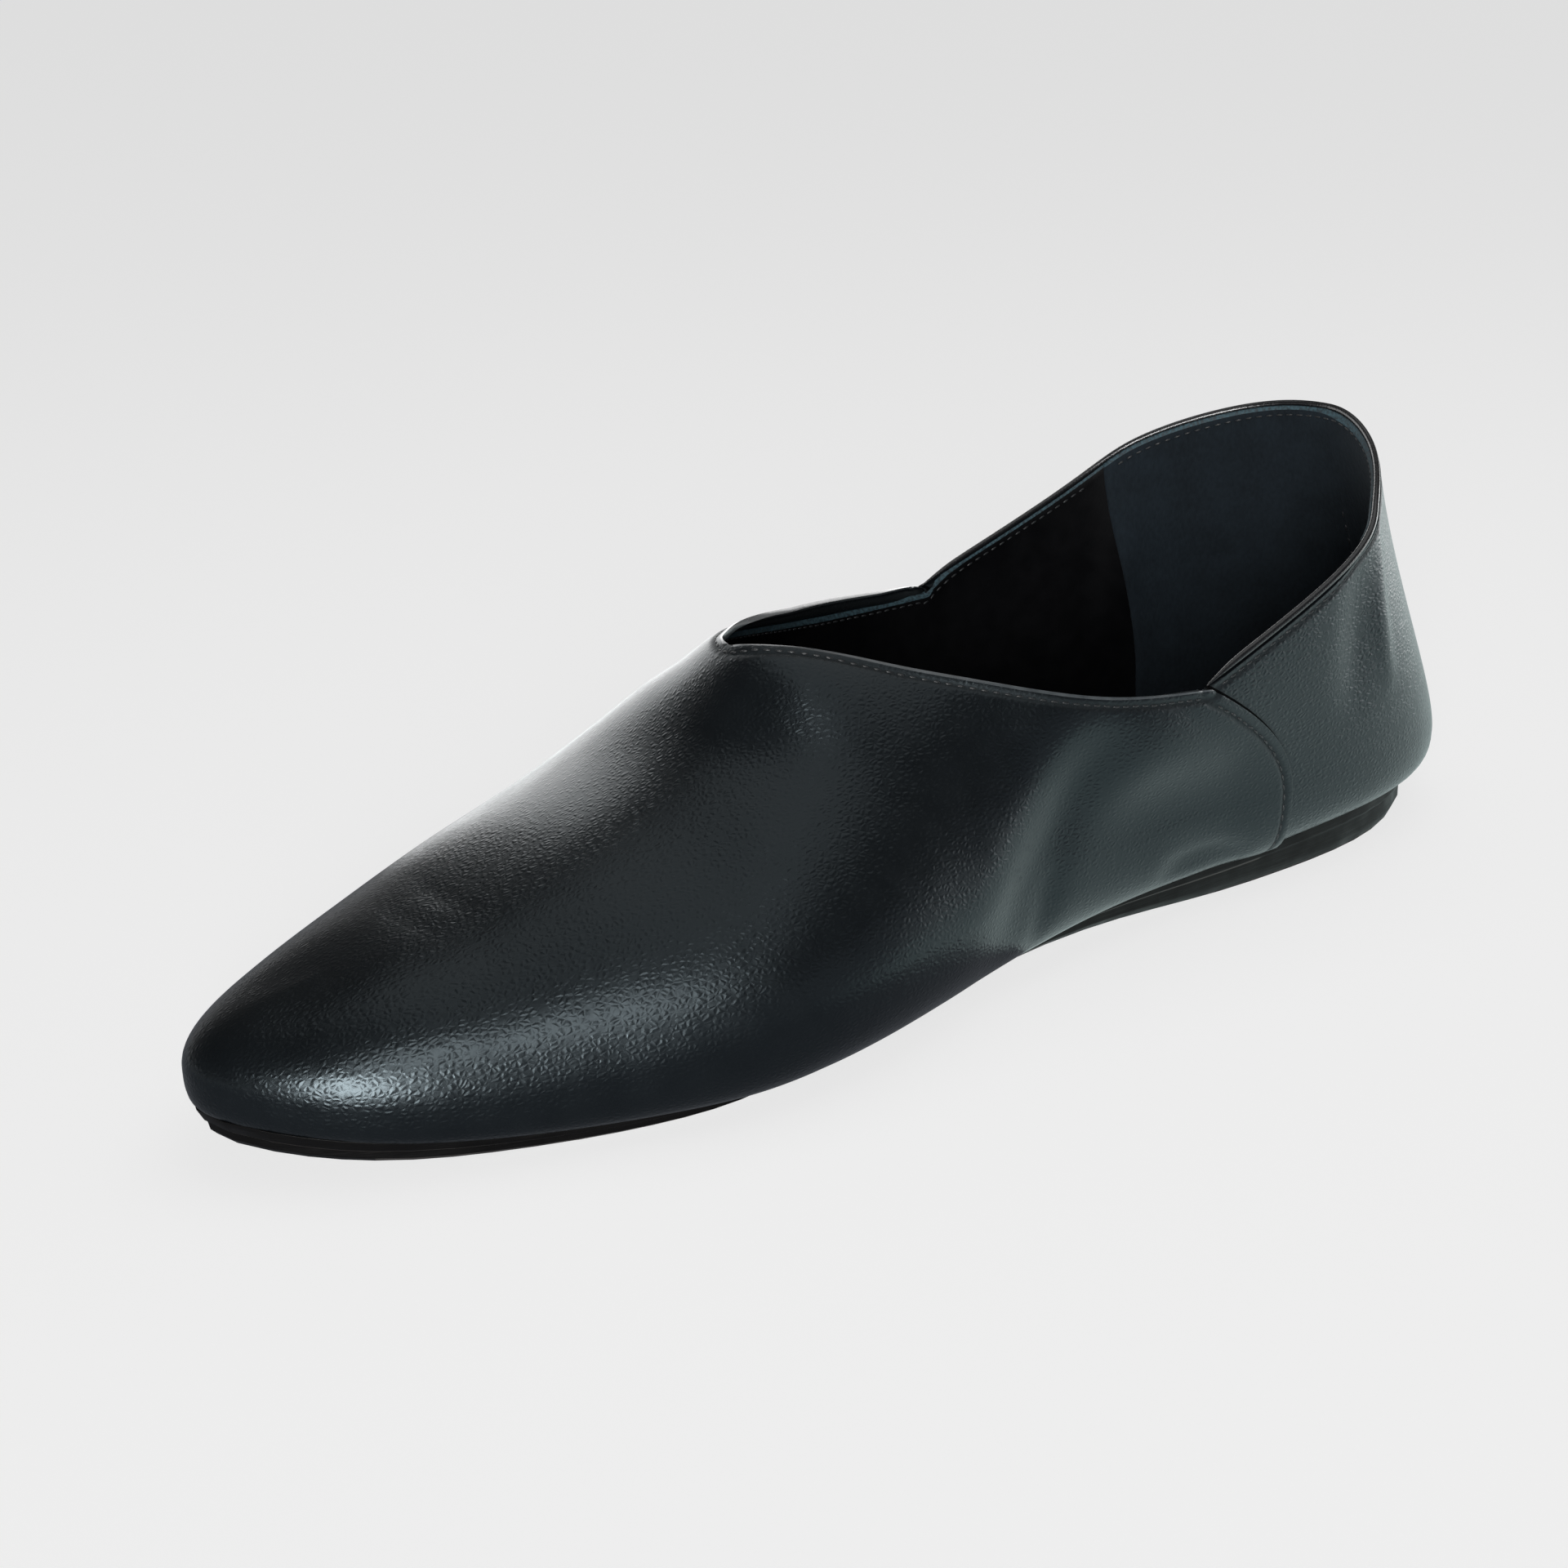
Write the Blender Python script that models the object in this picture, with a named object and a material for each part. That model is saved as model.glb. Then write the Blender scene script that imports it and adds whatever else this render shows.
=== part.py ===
"""Slip-on leather shoe for the right foot: hollow upper, rolled collar binding, insole and outsole.

The shoe is worked out in millimetres in a last frame (x from the heel back to the toe, y to the
inner side of the foot, z up from the floor) and is centred and scaled to metres at the end.
"""
import math
from collections import namedtuple

import bmesh
import bpy
import numpy as np
from mathutils import Vector

# Driving sizes in millimetres
LENGTH = 262.0
WALL = 1.8
GAP = 0.3
MARGIN = 8.0
SEAM_STEP = 0.9
SEAM_FADE = 16.0
SEAM_EDGE = 0.6
INSOLE_STEPS = 2
ARCH_RISE = 1.6
ARCH_FROM = 66.0
ARCH_TO = 150.0
TOE_SPRING = 6.0
SPRING_FROM = 204.0
SOLE_REACH = 0.8
SOLE_TAPER = 1.2
EDGE_STEP = 0.7
BINDING_WIDTH = 2.8
BINDING_HEIGHT = 2.3
LOW_STEPS = 5
LOW_SQUARE = 0.75
SIDE_STEPS = 11
RIBS_PER_STATION = (3, 3, 3, 3, 5, 4, 4, 4, 4, 3, 3, 3, 2)
SEAM_STATION = 4
THROAT_STATION = 7

# Bulge of the upper, heel back to toe tip: breadth to each side, height, tuck to the sole
Section = namedtuple("Section", "name x inner outer bulge tuck_inner tuck_outer")
SECTIONS = (
    Section("heel back", 0, 0, 0, 15, 5, 5),
    Section("heel turn", 8, 18, -18, 15.5, 5.5, 5.5),
    Section("heel", 28, 30.3, -30.3, 18, 6, 6),
    Section("seat", 50, 34, -34, 19.5, 6.5, 6.5),
    Section("seam", 66, 34.5, -35.5, 20, 7, 7),
    Section("waist", 106, 35, -40, 20, 8.5, 9),
    Section("instep side", 140, 40, -43.5, 19, 12, 11.5),
    Section("instep", 167, 46.5, -45, 17, 14, 12),
    Section("ball", 190, 45.5, -43, 14.5, 9, 9.5),
    Section("joint", 210, 38.7, -37.2, 12, 5.5, 6),
    Section("toes", 228, 31.8, -28.8, 11, 4, 4),
    Section("toe", 244, 24.5, -18.5, 12, 3.6, 3.6),
    Section("toe turn", 256, 15, -8.5, 14, 3.8, 3.8),
    Section("tip", 262, 3.5, 3.5, 15, 4, 4),
)

# Top edge of the collar and throat, then the ridge of the vamp; the way the leather runs at the top
Top = namedtuple("Top", "name x middle half z forward inward up rise reach outer_up")
TOPS = (
    Top("heel back", 20.5, 0, 0, 76, 0.22, 0.0, 1, 0.10, 0.38, 0),
    Top("heel turn", 25.5, 0, 15, 72.2, 0.18, 0.05, 1, 0.14, 0.38, 2.4),
    Top("heel", 41, 0, 30, 66.2, 0.12, 0.0, 1, 0.27, 0.36, 1.8),
    Top("seat", 58, -0.5, 36.5, 57, 0.25, -0.05, 1, 0.38, 0.35, 0.8),
    Top("notch", 89, -2.3, 38.3, 44.5, 1.5, 0.10, 0.9, 0.42, 0.40, 1.1),
    Top("throat rear", 118, -0.5, 34, 49.5, 0.15, 0.50, 0.9, 0.44, 0.38, 0.3),
    Top("throat side", 145, 0.5, 18, 56.4, 0.0, 0.85, 0.5, 0.42, 0.37, -0.8),
    Top("throat", 161.5, 0.8, 0, 58.3, -0.2, 1, 0.1, 0.40, 0.24, 0),
    Top("ball", 180, 3, 0, 44.4, 0, 1, 0, 0.45, 0.44, 0),
    Top("joint", 199, 4, 0, 37.3, 0, 1, 0, 0.48, 0.53, 0),
    Top("toes", 217, 4, 0, 31.5, 0, 1, 0, 0.52, 0.60, 0),
    Top("toe", 230, 4, 0, 28.5, 0, 1, 0, 0.54, 0.62, 0),
    Top("toe turn", 238, 4, 0, 26.5, 0, 1, 0, 0.55, 0.62, 0),
    Top("tip", 241, 4, 0, 25.8, 0, 1, 0, 0.55, 0.62, 0),
)

# Thickness of the outsole, edge included
SoleRow = namedtuple("SoleRow", "x thick")
SOLE = (
    SoleRow(0, 8.8),
    SoleRow(40, 8.6),
    SoleRow(70, 7.4),
    SoleRow(105, 4.6),
    SoleRow(145, 2.8),
    SoleRow(190, 2.6),
    SoleRow(230, 3.3),
    SoleRow(262, 3.8),
)

# Cross-section of the rolled binding, as shares of its width and height
BINDING_FORM = (
    (-0.42, 0.0),
    (0.42, 0.0),
    (0.52, 0.38),
    (0.40, 0.78),
    (0.16, 1.0),
    (-0.16, 1.0),
    (-0.40, 0.78),
    (-0.52, 0.38),
)


def curve(knots, values, at, closed=False):
    """Smooth cubic curve through rows of values, at given places along the knots."""
    knots = np.asarray(knots, float)
    values = np.asarray(values, float)
    steps = np.diff(knots)
    count = len(knots)
    slopes = np.diff(values) / steps
    matrix = np.zeros((count, count))
    side = np.zeros(count)
    for row in range(1, count - 1):
        matrix[row, row - 1] = steps[row - 1]
        matrix[row, row] = 2 * (steps[row - 1] + steps[row])
        matrix[row, row + 1] = steps[row]
        side[row] = 6 * (slopes[row] - slopes[row - 1])
    if closed:
        matrix[0, 0] = 2 * (steps[0] + steps[-1])
        matrix[0, 1] = steps[0]
        matrix[0, -2] = steps[-1]
        side[0] = 6 * (slopes[0] - slopes[-1])
        matrix[-1, 0] = 1
        matrix[-1, -1] = -1
    else:
        matrix[0, 0] = 1
        matrix[-1, -1] = 1
    bends = np.linalg.solve(matrix, side)
    at = np.asarray(at, float)
    cell = np.clip(np.searchsorted(knots, at, side="right") - 1, 0, count - 2)
    step = steps[cell]
    after = (at - knots[cell]) / step
    before = 1 - after
    cubic_before = (before ** 3 - before) * bends[cell]
    cubic_after = (after ** 3 - after) * bends[cell + 1]
    line = before * values[cell] + after * values[cell + 1]
    return line + (cubic_before + cubic_after) * step ** 2 / 6


def sole_bottom(x):
    """Height of the sole's underside: flat at heel and ball, arched at the waist, sprung at the toe."""
    x = np.asarray(x, float)
    along = np.clip((x - ARCH_FROM) / (ARCH_TO - ARCH_FROM), 0, 1)
    spring = np.clip((x - SPRING_FROM) / (LENGTH - SPRING_FROM), 0, 1)
    return ARCH_RISE * np.sin(math.pi * along) ** 2 + TOE_SPRING * spring ** 2


def sole_top(x):
    """Height of the sole's upper face."""
    rows = np.array(SOLE, float)
    return sole_bottom(x) + curve(rows[:, 0], rows[:, 1], np.clip(x, 0, LENGTH))


class Last:
    """The outer form of the shoe as ribs from the sole up to the top edge, on both sides."""

    def __init__(self):
        """Read the tables and place the ribs."""
        self.rows = np.array([row[1:] for row in SECTIONS], float)
        self.tops = np.array([row[1:] for row in TOPS], float)
        inner = self.rows[:, (0, 1)]
        outer = self.rows[:, (0, 2)]
        chord = [np.hypot(*np.diff(side, axis=0).T) for side in (inner, outer)]
        self.knots = np.concatenate([[0], np.cumsum((chord[0] + chord[1]) / 2)])
        self.seam = self.knots[SEAM_STATION]
        self.throat = self.knots[THROAT_STATION]
        places = []
        for station, count in enumerate(RIBS_PER_STATION):
            start, end = self.knots[station], self.knots[station + 1]
            places += list(start + (end - start) * np.arange(count) / count)
            if station == SEAM_STATION - 1:
                places.append(self.seam - SEAM_EDGE)
        places.append(self.knots[-1])
        self.places = np.array(places)
        self.first_vamp = int(np.argmin(np.abs(self.places - self.throat)))

    def ring_rows(self, inner, outer):
        """One row of values round the shoe: up the inner side, back down the outer side."""
        knots = np.concatenate([self.knots, 2 * self.knots[-1] - self.knots[-2::-1]])
        return knots, np.concatenate([inner, outer[-2::-1]])

    def around(self, inner, outer, side):
        """Values at every rib of one side, smooth round heel and toe."""
        knots, values = self.ring_rows(inner, outer)
        at = self.places if side > 0 else 2 * self.knots[-1] - self.places
        return curve(knots, values, at, closed=True)

    def bulge_points(self, side):
        """Widest points of the upper with the plan direction that looks outwards and the tuck."""
        x = self.around(self.rows[:, 0], self.rows[:, 0], side)
        y = self.around(self.rows[:, 1], self.rows[:, 2], side)
        z = self.around(self.rows[:, 3], self.rows[:, 3], side)
        tuck = self.around(self.rows[:, 4], self.rows[:, 5], side)
        knots, xs = self.ring_rows(self.rows[:, 0], self.rows[:, 0])
        ys = self.ring_rows(self.rows[:, 1], self.rows[:, 2])[1]
        at = self.places if side > 0 else 2 * self.knots[-1] - self.places
        ahead = np.mod(at + 0.5, knots[-1])
        behind = np.mod(at - 0.5, knots[-1])
        run_x = curve(knots, xs, ahead, True) - curve(knots, xs, behind, True)
        run_y = curve(knots, ys, ahead, True) - curve(knots, ys, behind, True)
        out = np.stack([-run_y, run_x], 1)
        out /= np.linalg.norm(out, axis=1)[:, None]
        return np.stack([x, y, z], 1), out, tuck

    def top_column(self, column, side):
        """One column of the top table at every rib, with a corner at the notch and at the throat."""
        values = self.tops[:, column]
        mirrored = column in (2, 5)
        sign = -1.0 if mirrored else 1.0
        result = np.zeros(len(self.places))
        collar_rows = values[:SEAM_STATION + 1]
        knots = np.concatenate([-self.knots[SEAM_STATION:0:-1], self.knots[:SEAM_STATION + 1]])
        rows = np.concatenate([sign * collar_rows[:0:-1], collar_rows])
        behind = self.places < self.seam - 1e-9
        result[behind] = curve(knots, rows, self.places[behind])
        throat_rows = values[SEAM_STATION:THROAT_STATION + 1]
        reach = self.knots[SEAM_STATION:THROAT_STATION + 1]
        knots = np.concatenate([reach, 2 * reach[-1] - reach[-2::-1]])
        mirror = sign * throat_rows[-2::-1]
        rows = np.concatenate([throat_rows, mirror])
        if column == 5:
            rows = np.concatenate([throat_rows, throat_rows[-2::-1]])
        middle = (~behind) & (self.places <= self.throat + 1e-9)
        result[middle] = curve(knots, rows, self.places[middle])
        ahead = self.places > self.throat + 1e-9
        result[ahead] = curve(self.knots[THROAT_STATION:], values[THROAT_STATION:], self.places[ahead])
        return result

    def ridge_slope(self):
        """Fall of the vamp's ridge per length along the foot, at every rib."""
        knots = self.knots[THROAT_STATION:]
        at = np.clip(self.places, knots[0] + 0.5, knots[-1] - 0.5)
        change = []
        for column in (3, 0):
            values = self.tops[THROAT_STATION:, column]
            change.append(curve(knots, values, at + 0.5) - curve(knots, values, at - 0.5))
        return change[0] / change[1]

    def side_grid(self, side):
        """Ribs of one side, each from the lasting margin up to the top edge."""
        bulge, out, tuck = self.bulge_points(side)
        x, middle, half, z, forward, inward, up, rise, reach, outer_up = (
            self.top_column(column, side) for column in range(10))
        if side < 0:
            z = z + outer_up
        half = np.where(self.places >= self.throat - 1e-9, 0, half)
        top = np.stack([x, middle + side * half, z], 1)
        run = np.stack([forward, -side * inward, up], 1)
        across = (top - bulge) * [1, 1, 0]
        across /= np.linalg.norm(across, axis=1)[:, None]
        vamp = self.places >= self.throat - 1e-9
        across[:, 2] = across[:, 0] * self.ridge_slope()
        run = np.where(vamp[:, None], across, run)
        run /= np.linalg.norm(run, axis=1)[:, None]
        chord = np.linalg.norm(top - bulge, axis=1)
        flat = np.hypot(*(top - bulge)[:, :2].T)
        upright = np.clip(run[:, 2], 0, 1)
        span = flat + (chord - flat) * np.where(vamp, 0, upright)
        lift = (top - bulge)[:, 2]
        feather = bulge.copy()
        feather[:, :2] -= out * tuck[:, None]
        feather[:, 2] = sole_top(feather[:, 0]) + GAP
        edge = feather.copy()
        edge[:, :2] -= out * MARGIN
        edge[:, 2] = sole_top(edge[:, 0]) + GAP
        levels = [edge]
        for step in range(LOW_STEPS):
            angle = math.pi / 2 * step / LOW_STEPS
            point = feather + (bulge - feather) * math.sin(angle) ** LOW_SQUARE
            point[:, 2] = bulge[:, 2] - (bulge - feather)[:, 2] * math.cos(angle) ** LOW_SQUARE
            levels.append(point)
        lower = bulge + np.stack([0 * lift, 0 * lift, rise * lift], 1)
        upper = top - run * (reach * span)[:, None]
        for step in range(SIDE_STEPS + 1):
            t = step / SIDE_STEPS
            weights = ((1 - t) ** 3, 3 * t * (1 - t) ** 2, 3 * t * t * (1 - t), t ** 3)
            parts = (bulge, lower, upper, top)
            levels.append(sum(weight * part for weight, part in zip(weights, parts)))
        return np.stack(levels, 1), run, out

    def ring(self):
        """All ribs in one ring: heel back, inner side, toe tip, outer side."""
        inner, inner_run, inner_out = self.side_grid(1)
        outer, outer_run, outer_out = self.side_grid(-1)
        back = slice(-2, 0, -1)
        grid = np.concatenate([inner, outer[back]])
        run = np.concatenate([inner_run, outer_run[back]])
        out = np.concatenate([inner_out, outer_out[back]])
        station = np.concatenate([self.places, self.places[back]])
        return grid, run, out, station


def grid_normals(grid, shared):
    """Outward directions at the grid points, the same where two ribs share their top point."""
    count, levels = grid.shape[:2]
    normals = np.zeros_like(grid)
    for rib in range(count):
        after = (rib + 1) % count
        for level in range(levels - 1):
            corners = ((rib, level), (after, level), (after, level + 1), (rib, level + 1))
            points = [grid[corner] for corner in corners]
            face = np.cross(points[3] - points[1], points[2] - points[0])
            for corner in corners:
                normals[corner] += face
    for first, second in shared:
        total = normals[first, -1] + normals[second, -1]
        normals[first, -1] = total
        normals[second, -1] = total
    return normals / np.linalg.norm(normals, axis=2)[:, :, None]


class Shoe:
    """Builds the solids of the shoe from its last."""

    def __init__(self):
        """Work out the ribs, their outward directions and the shared frame."""
        self.last = Last()
        self.grid, self.run, self.out, self.station = self.last.ring()
        self.count = len(self.grid)
        vamp = self.last.first_vamp
        tip = len(self.last.places) - 1
        self.shared = [(rib, self.count - rib) for rib in range(vamp, tip)]
        self.vamp = vamp
        self.tip = tip
        self.normals = grid_normals(self.grid, self.shared)
        self.tuck_edge = 1
        ahead = self.station - self.last.seam
        fade = np.clip(1 - ahead / SEAM_FADE, 0, 1)
        raised = np.where(ahead >= -1e-9, SEAM_STEP * fade * fade * (3 - 2 * fade), 0)
        self.raised = raised[:, None] * np.ones(self.grid.shape[1])
        self.raised[:, :2] = 0

    def partner(self, rib):
        """The rib of the other side at the same station."""
        return (self.count - rib) % self.count

    def is_open(self, rib):
        """Whether a rib ends at the collar or throat, not on the ridge of the vamp."""
        return min(rib, self.partner(rib)) < self.vamp

    def upper(self):
        """Hollow upper: outer and inner skin, joined along the top edge and the lasting margin."""
        outer = self.grid + self.normals * self.raised[:, :, None]
        inner = self.grid - self.normals * WALL
        work = bmesh.new()
        skins = []
        for skin in (outer, inner):
            rows = []
            for rib in range(self.count):
                row = [work.verts.new(point) for point in skin[rib, :-1]]
                other = self.partner(rib)
                if not self.is_open(rib) and rib > other:
                    row.append(rows[other][-1])
                else:
                    row.append(work.verts.new(skin[rib, -1]))
                rows.append(row)
            skins.append(rows)
        levels = self.grid.shape[1]
        for rib in range(self.count):
            after = (rib + 1) % self.count
            for level in range(levels - 1):
                for rows, turned in ((skins[0], False), (skins[1], True)):
                    loop = [rows[rib][level], rows[after][level], rows[after][level + 1], rows[rib][level + 1]]
                    add_face(work, loop, turned)
            low = [skins[0][rib][0], skins[0][after][0], skins[1][after][0], skins[1][rib][0]]
            add_face(work, low, True)
            if self.is_open(rib) or self.is_open(after):
                rim = [skins[0][rib][-1], skins[0][after][-1], skins[1][after][-1], skins[1][rib][-1]]
                add_face(work, rim, False)
        return work

    def ladder(self, ring, height, columns):
        """Points across the shoe between the two sides at each station, at a height over x."""
        rows = []
        for rib in range(self.tip + 1):
            near, far = ring[rib], ring[self.partner(rib)]
            row = []
            for column in range(columns + 1):
                point = near + (far - near) * column / columns
                row.append(np.array([point[0], point[1], height(point, column / columns)]))
            rows.append(row)
        return rows

    def slab(self, rings, bottom, top, columns):
        """Solid between a lower and an upper ladder, closed by rings of edge points."""
        work = bmesh.new()
        edges = [[work.verts.new(point) for point in ring] for ring in rings]
        for lower, upper in zip(edges, edges[1:]):
            for rib in range(self.count):
                after = (rib + 1) % self.count
                add_face(work, [lower[rib], lower[after], upper[after], upper[rib]], False)
        for edge, ladder, turned in ((edges[0], bottom, False), (edges[-1], top, True)):
            rows = []
            for rib in range(self.tip + 1):
                if rib in (0, self.tip):
                    rows.append([edge[rib]] * (columns + 1))
                    continue
                inside = [work.verts.new(point) for point in ladder[rib][1:-1]]
                rows.append([edge[rib]] + inside + [edge[self.partner(rib)]])
            for first, second in zip(rows, rows[1:]):
                for column in range(columns):
                    loop = [first[column], first[column + 1], second[column + 1], second[column]]
                    add_face(work, loop, turned)
        return work

    def outsole(self):
        """Sole with a low built-in heel, an arch, a toe spring and a stepped edge."""
        feather = self.grid[:, self.tuck_edge]
        rings = []
        for push, share in ((-SOLE_TAPER, 0.0), (0.0, 0.28), (0.0, 0.62), (EDGE_STEP, 0.70), (EDGE_STEP, 1.0)):
            ring = feather.copy()
            ring[:, :2] += self.out * (SOLE_REACH - EDGE_STEP + push)
            low, high = sole_bottom(ring[:, 0]), sole_top(ring[:, 0])
            ring[:, 2] = low + (high - low) * share
            rings.append(ring)
        bottom = self.ladder(rings[0], lambda point, share: float(sole_bottom(point[0])), 4)
        top = self.ladder(rings[-1], lambda point, share: float(sole_top(point[0])), 4)
        return self.slab(rings, bottom, top, 4)

    def insole(self):
        """Insole lying on the lasting margin, its edge following the inside of the wall."""
        rings = []
        for step in range(INSOLE_STEPS + 1):
            level = self.tuck_edge + step
            rings.append(self.grid[:, level] - self.normals[:, level] * (WALL + GAP))
        lift = GAP + WALL + GAP
        bottom = self.ladder(rings[0], lambda point, share: float(sole_top(point[0])) + lift, 4)
        top_ring = rings[-1]
        top = self.ladder(top_ring, lambda point, share: 0.0, 4)
        for rib, row in enumerate(top):
            near, far = top_ring[rib][2], top_ring[self.partner(rib)][2]
            for column, point in enumerate(row):
                point[2] = near + (far - near) * column / 4
        return self.slab(rings, bottom, top, 4)

    def collar_binding(self):
        """Rolled edge along the quarter topline, from notch to notch round the heel."""
        behind = self.station < self.last.seam - 1e-6
        ribs = [rib for rib in range(self.count) if behind[rib]]
        ribs.sort(key=lambda rib: self.station[rib] if rib <= self.tip else -self.station[rib])
        rims = self.grid[ribs, -1] - self.normals[ribs, -1] * WALL / 2
        along = np.gradient(rims, axis=0)
        along /= np.linalg.norm(along, axis=1)[:, None]
        work = bmesh.new()
        rows = []
        for place, rib in enumerate(ribs):
            out = self.normals[rib, -1]
            up = np.cross(along[place], out)
            up *= np.sign(up[2]) / np.linalg.norm(up)
            row = []
            for wide, tall in BINDING_FORM:
                shift = out * wide * BINDING_WIDTH + up * (GAP + tall * BINDING_HEIGHT)
                row.append(work.verts.new(rims[place] + shift))
            rows.append(row)
        count = len(BINDING_FORM)
        for first, second in zip(rows, rows[1:]):
            for side in range(count):
                after = (side + 1) % count
                add_face(work, [first[side], first[after], second[after], second[side]], False)
        add_face(work, rows[0], True)
        add_face(work, rows[-1], False)
        return work


def add_face(work, loop, turned):
    """Add one face from a loop of points, leaving out repeated points."""
    corners = []
    for vertex in loop:
        if vertex not in corners:
            corners.append(vertex)
    if len(corners) > 2:
        work.faces.new(corners[::-1] if turned else corners)


def make_material(name, colour, roughness):
    """A plain leather-like material."""
    material = bpy.data.materials.new(name)
    material.use_nodes = True
    shader = material.node_tree.nodes["Principled BSDF"]
    shader.inputs["Base Color"].default_value = (*colour, 1.0)
    shader.inputs["Roughness"].default_value = roughness
    return material


def make_object(name, work, material, shift):
    """Close a mesh, put it in the shared frame in metres and link it to the scene."""
    bmesh.ops.remove_doubles(work, verts=work.verts, dist=1e-5)
    bmesh.ops.triangulate(work, faces=work.faces[:])
    bmesh.ops.recalc_face_normals(work, faces=work.faces[:])
    for vertex in work.verts:
        vertex.co = (vertex.co - shift) * 0.001
    mesh = bpy.data.meshes.new(name)
    work.to_mesh(mesh)
    work.free()
    mesh.materials.append(material)
    made = bpy.data.objects.new(name, mesh)
    bpy.context.scene.collection.objects.link(made)
    return made


def build():
    """Build the four pieces of the shoe."""
    for old in list(bpy.data.objects):
        bpy.data.objects.remove(old)
    shoe = Shoe()
    points = shoe.grid.reshape(-1, 3)
    low, high = points.min(axis=0), points.max(axis=0)
    shift = Vector(((low[0] + high[0]) / 2, (low[1] + high[1]) / 2, 0))
    black = make_material("upper_leather", (0.012, 0.013, 0.015), 0.42)
    edge = make_material("binding_leather", (0.010, 0.011, 0.013), 0.38)
    inside = make_material("insole_leather", (0.014, 0.015, 0.018), 0.6)
    ground = make_material("sole_leather", (0.020, 0.016, 0.015), 0.55)
    make_object("upper", shoe.upper(), black, shift)
    make_object("collar_binding", shoe.collar_binding(), edge, shift)
    make_object("insole", shoe.insole(), inside, shift)
    make_object("outsole", shoe.outsole(), ground, shift)


build()
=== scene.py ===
"""Looks of a black slip-on leather shoe for the right foot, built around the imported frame.

Sizes of the last are in millimetres in the last frame: x from the heel back to the toe, y to the inner
side of the foot, z up from the floor. Finished meshes are in metres in the shared frame.
"""
import logging
import math
from dataclasses import dataclass
from dataclasses import field
from enum import Enum
from typing import NamedTuple
from typing import Sequence

import bmesh
import bpy
import numpy as np
from mathutils import Matrix
from mathutils import Quaternion
from mathutils import Vector
from mathutils.bvhtree import BVHTree


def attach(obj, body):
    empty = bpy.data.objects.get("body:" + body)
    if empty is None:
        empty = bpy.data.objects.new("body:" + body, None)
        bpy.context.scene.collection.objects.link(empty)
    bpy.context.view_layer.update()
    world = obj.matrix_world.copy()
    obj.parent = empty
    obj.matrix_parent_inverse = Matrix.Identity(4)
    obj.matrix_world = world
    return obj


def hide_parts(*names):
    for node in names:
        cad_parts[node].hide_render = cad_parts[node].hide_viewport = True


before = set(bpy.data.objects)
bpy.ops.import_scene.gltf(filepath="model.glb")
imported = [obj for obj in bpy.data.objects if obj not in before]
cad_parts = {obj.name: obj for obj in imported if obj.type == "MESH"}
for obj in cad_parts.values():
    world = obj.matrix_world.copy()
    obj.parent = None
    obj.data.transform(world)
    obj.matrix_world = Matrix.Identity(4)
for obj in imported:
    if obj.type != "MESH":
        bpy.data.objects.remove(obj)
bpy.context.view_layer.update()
BODY = "root"
MILLIMETRE = 0.001
TINY = 1e-9
PROBE = 0.5
MIX_SHARE = 0
MIX_FIRST = 6
MIX_SECOND = 7
MIX_RESULT = 2
log = logging.getLogger("shoe")

Point = tuple[float, float, float]
Colour = tuple[float, float, float]
Socket = bpy.types.NodeSocket
Material = bpy.types.Material
Piece = bpy.types.Object
Work = bmesh.types.BMesh


class Section(NamedTuple):
    """Bulge of the upper at one station: breadth to each side, height, tuck to the sole."""

    name: str
    x: float
    inner: float
    outer: float
    bulge: float
    tuck_inner: float
    tuck_outer: float


class Top(NamedTuple):
    """Top edge or vamp ridge at one station, and the way the leather runs there."""

    name: str
    x: float
    middle: float
    half: float
    z: float
    forward: float
    inward: float
    up: float
    rise: float
    reach: float
    outer_up: float


class SoleRow(NamedTuple):
    """Thickness of the outsole at one place along the shoe."""

    x: float
    thick: float


SECTIONS = (
    Section("heel back", 0, 0, 0, 15, 5, 5),
    Section("heel turn", 8, 18, -18, 15.5, 5.5, 5.5),
    Section("heel", 28, 30.3, -30.3, 18, 6, 6),
    Section("seat", 50, 34, -34, 19.5, 6.5, 6.5),
    Section("seam", 66, 34.5, -35.5, 20, 7, 7),
    Section("waist", 106, 35, -40, 20, 8.5, 9),
    Section("instep side", 140, 40, -43.5, 19, 12, 11.5),
    Section("instep", 167, 46.5, -45, 17, 14, 12),
    Section("ball", 190, 45.5, -43, 14.5, 9, 9.5),
    Section("joint", 210, 38.7, -37.2, 12, 5.5, 6),
    Section("toes", 228, 31.8, -28.8, 11, 3.2, 3.2),
    Section("toe", 244, 24.5, -18.5, 12, 2.2, 2.2),
    Section("toe turn", 256, 15, -8.5, 14, 2, 2),
    Section("tip", 262, 3.5, 3.5, 15, 2, 2),
)

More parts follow.
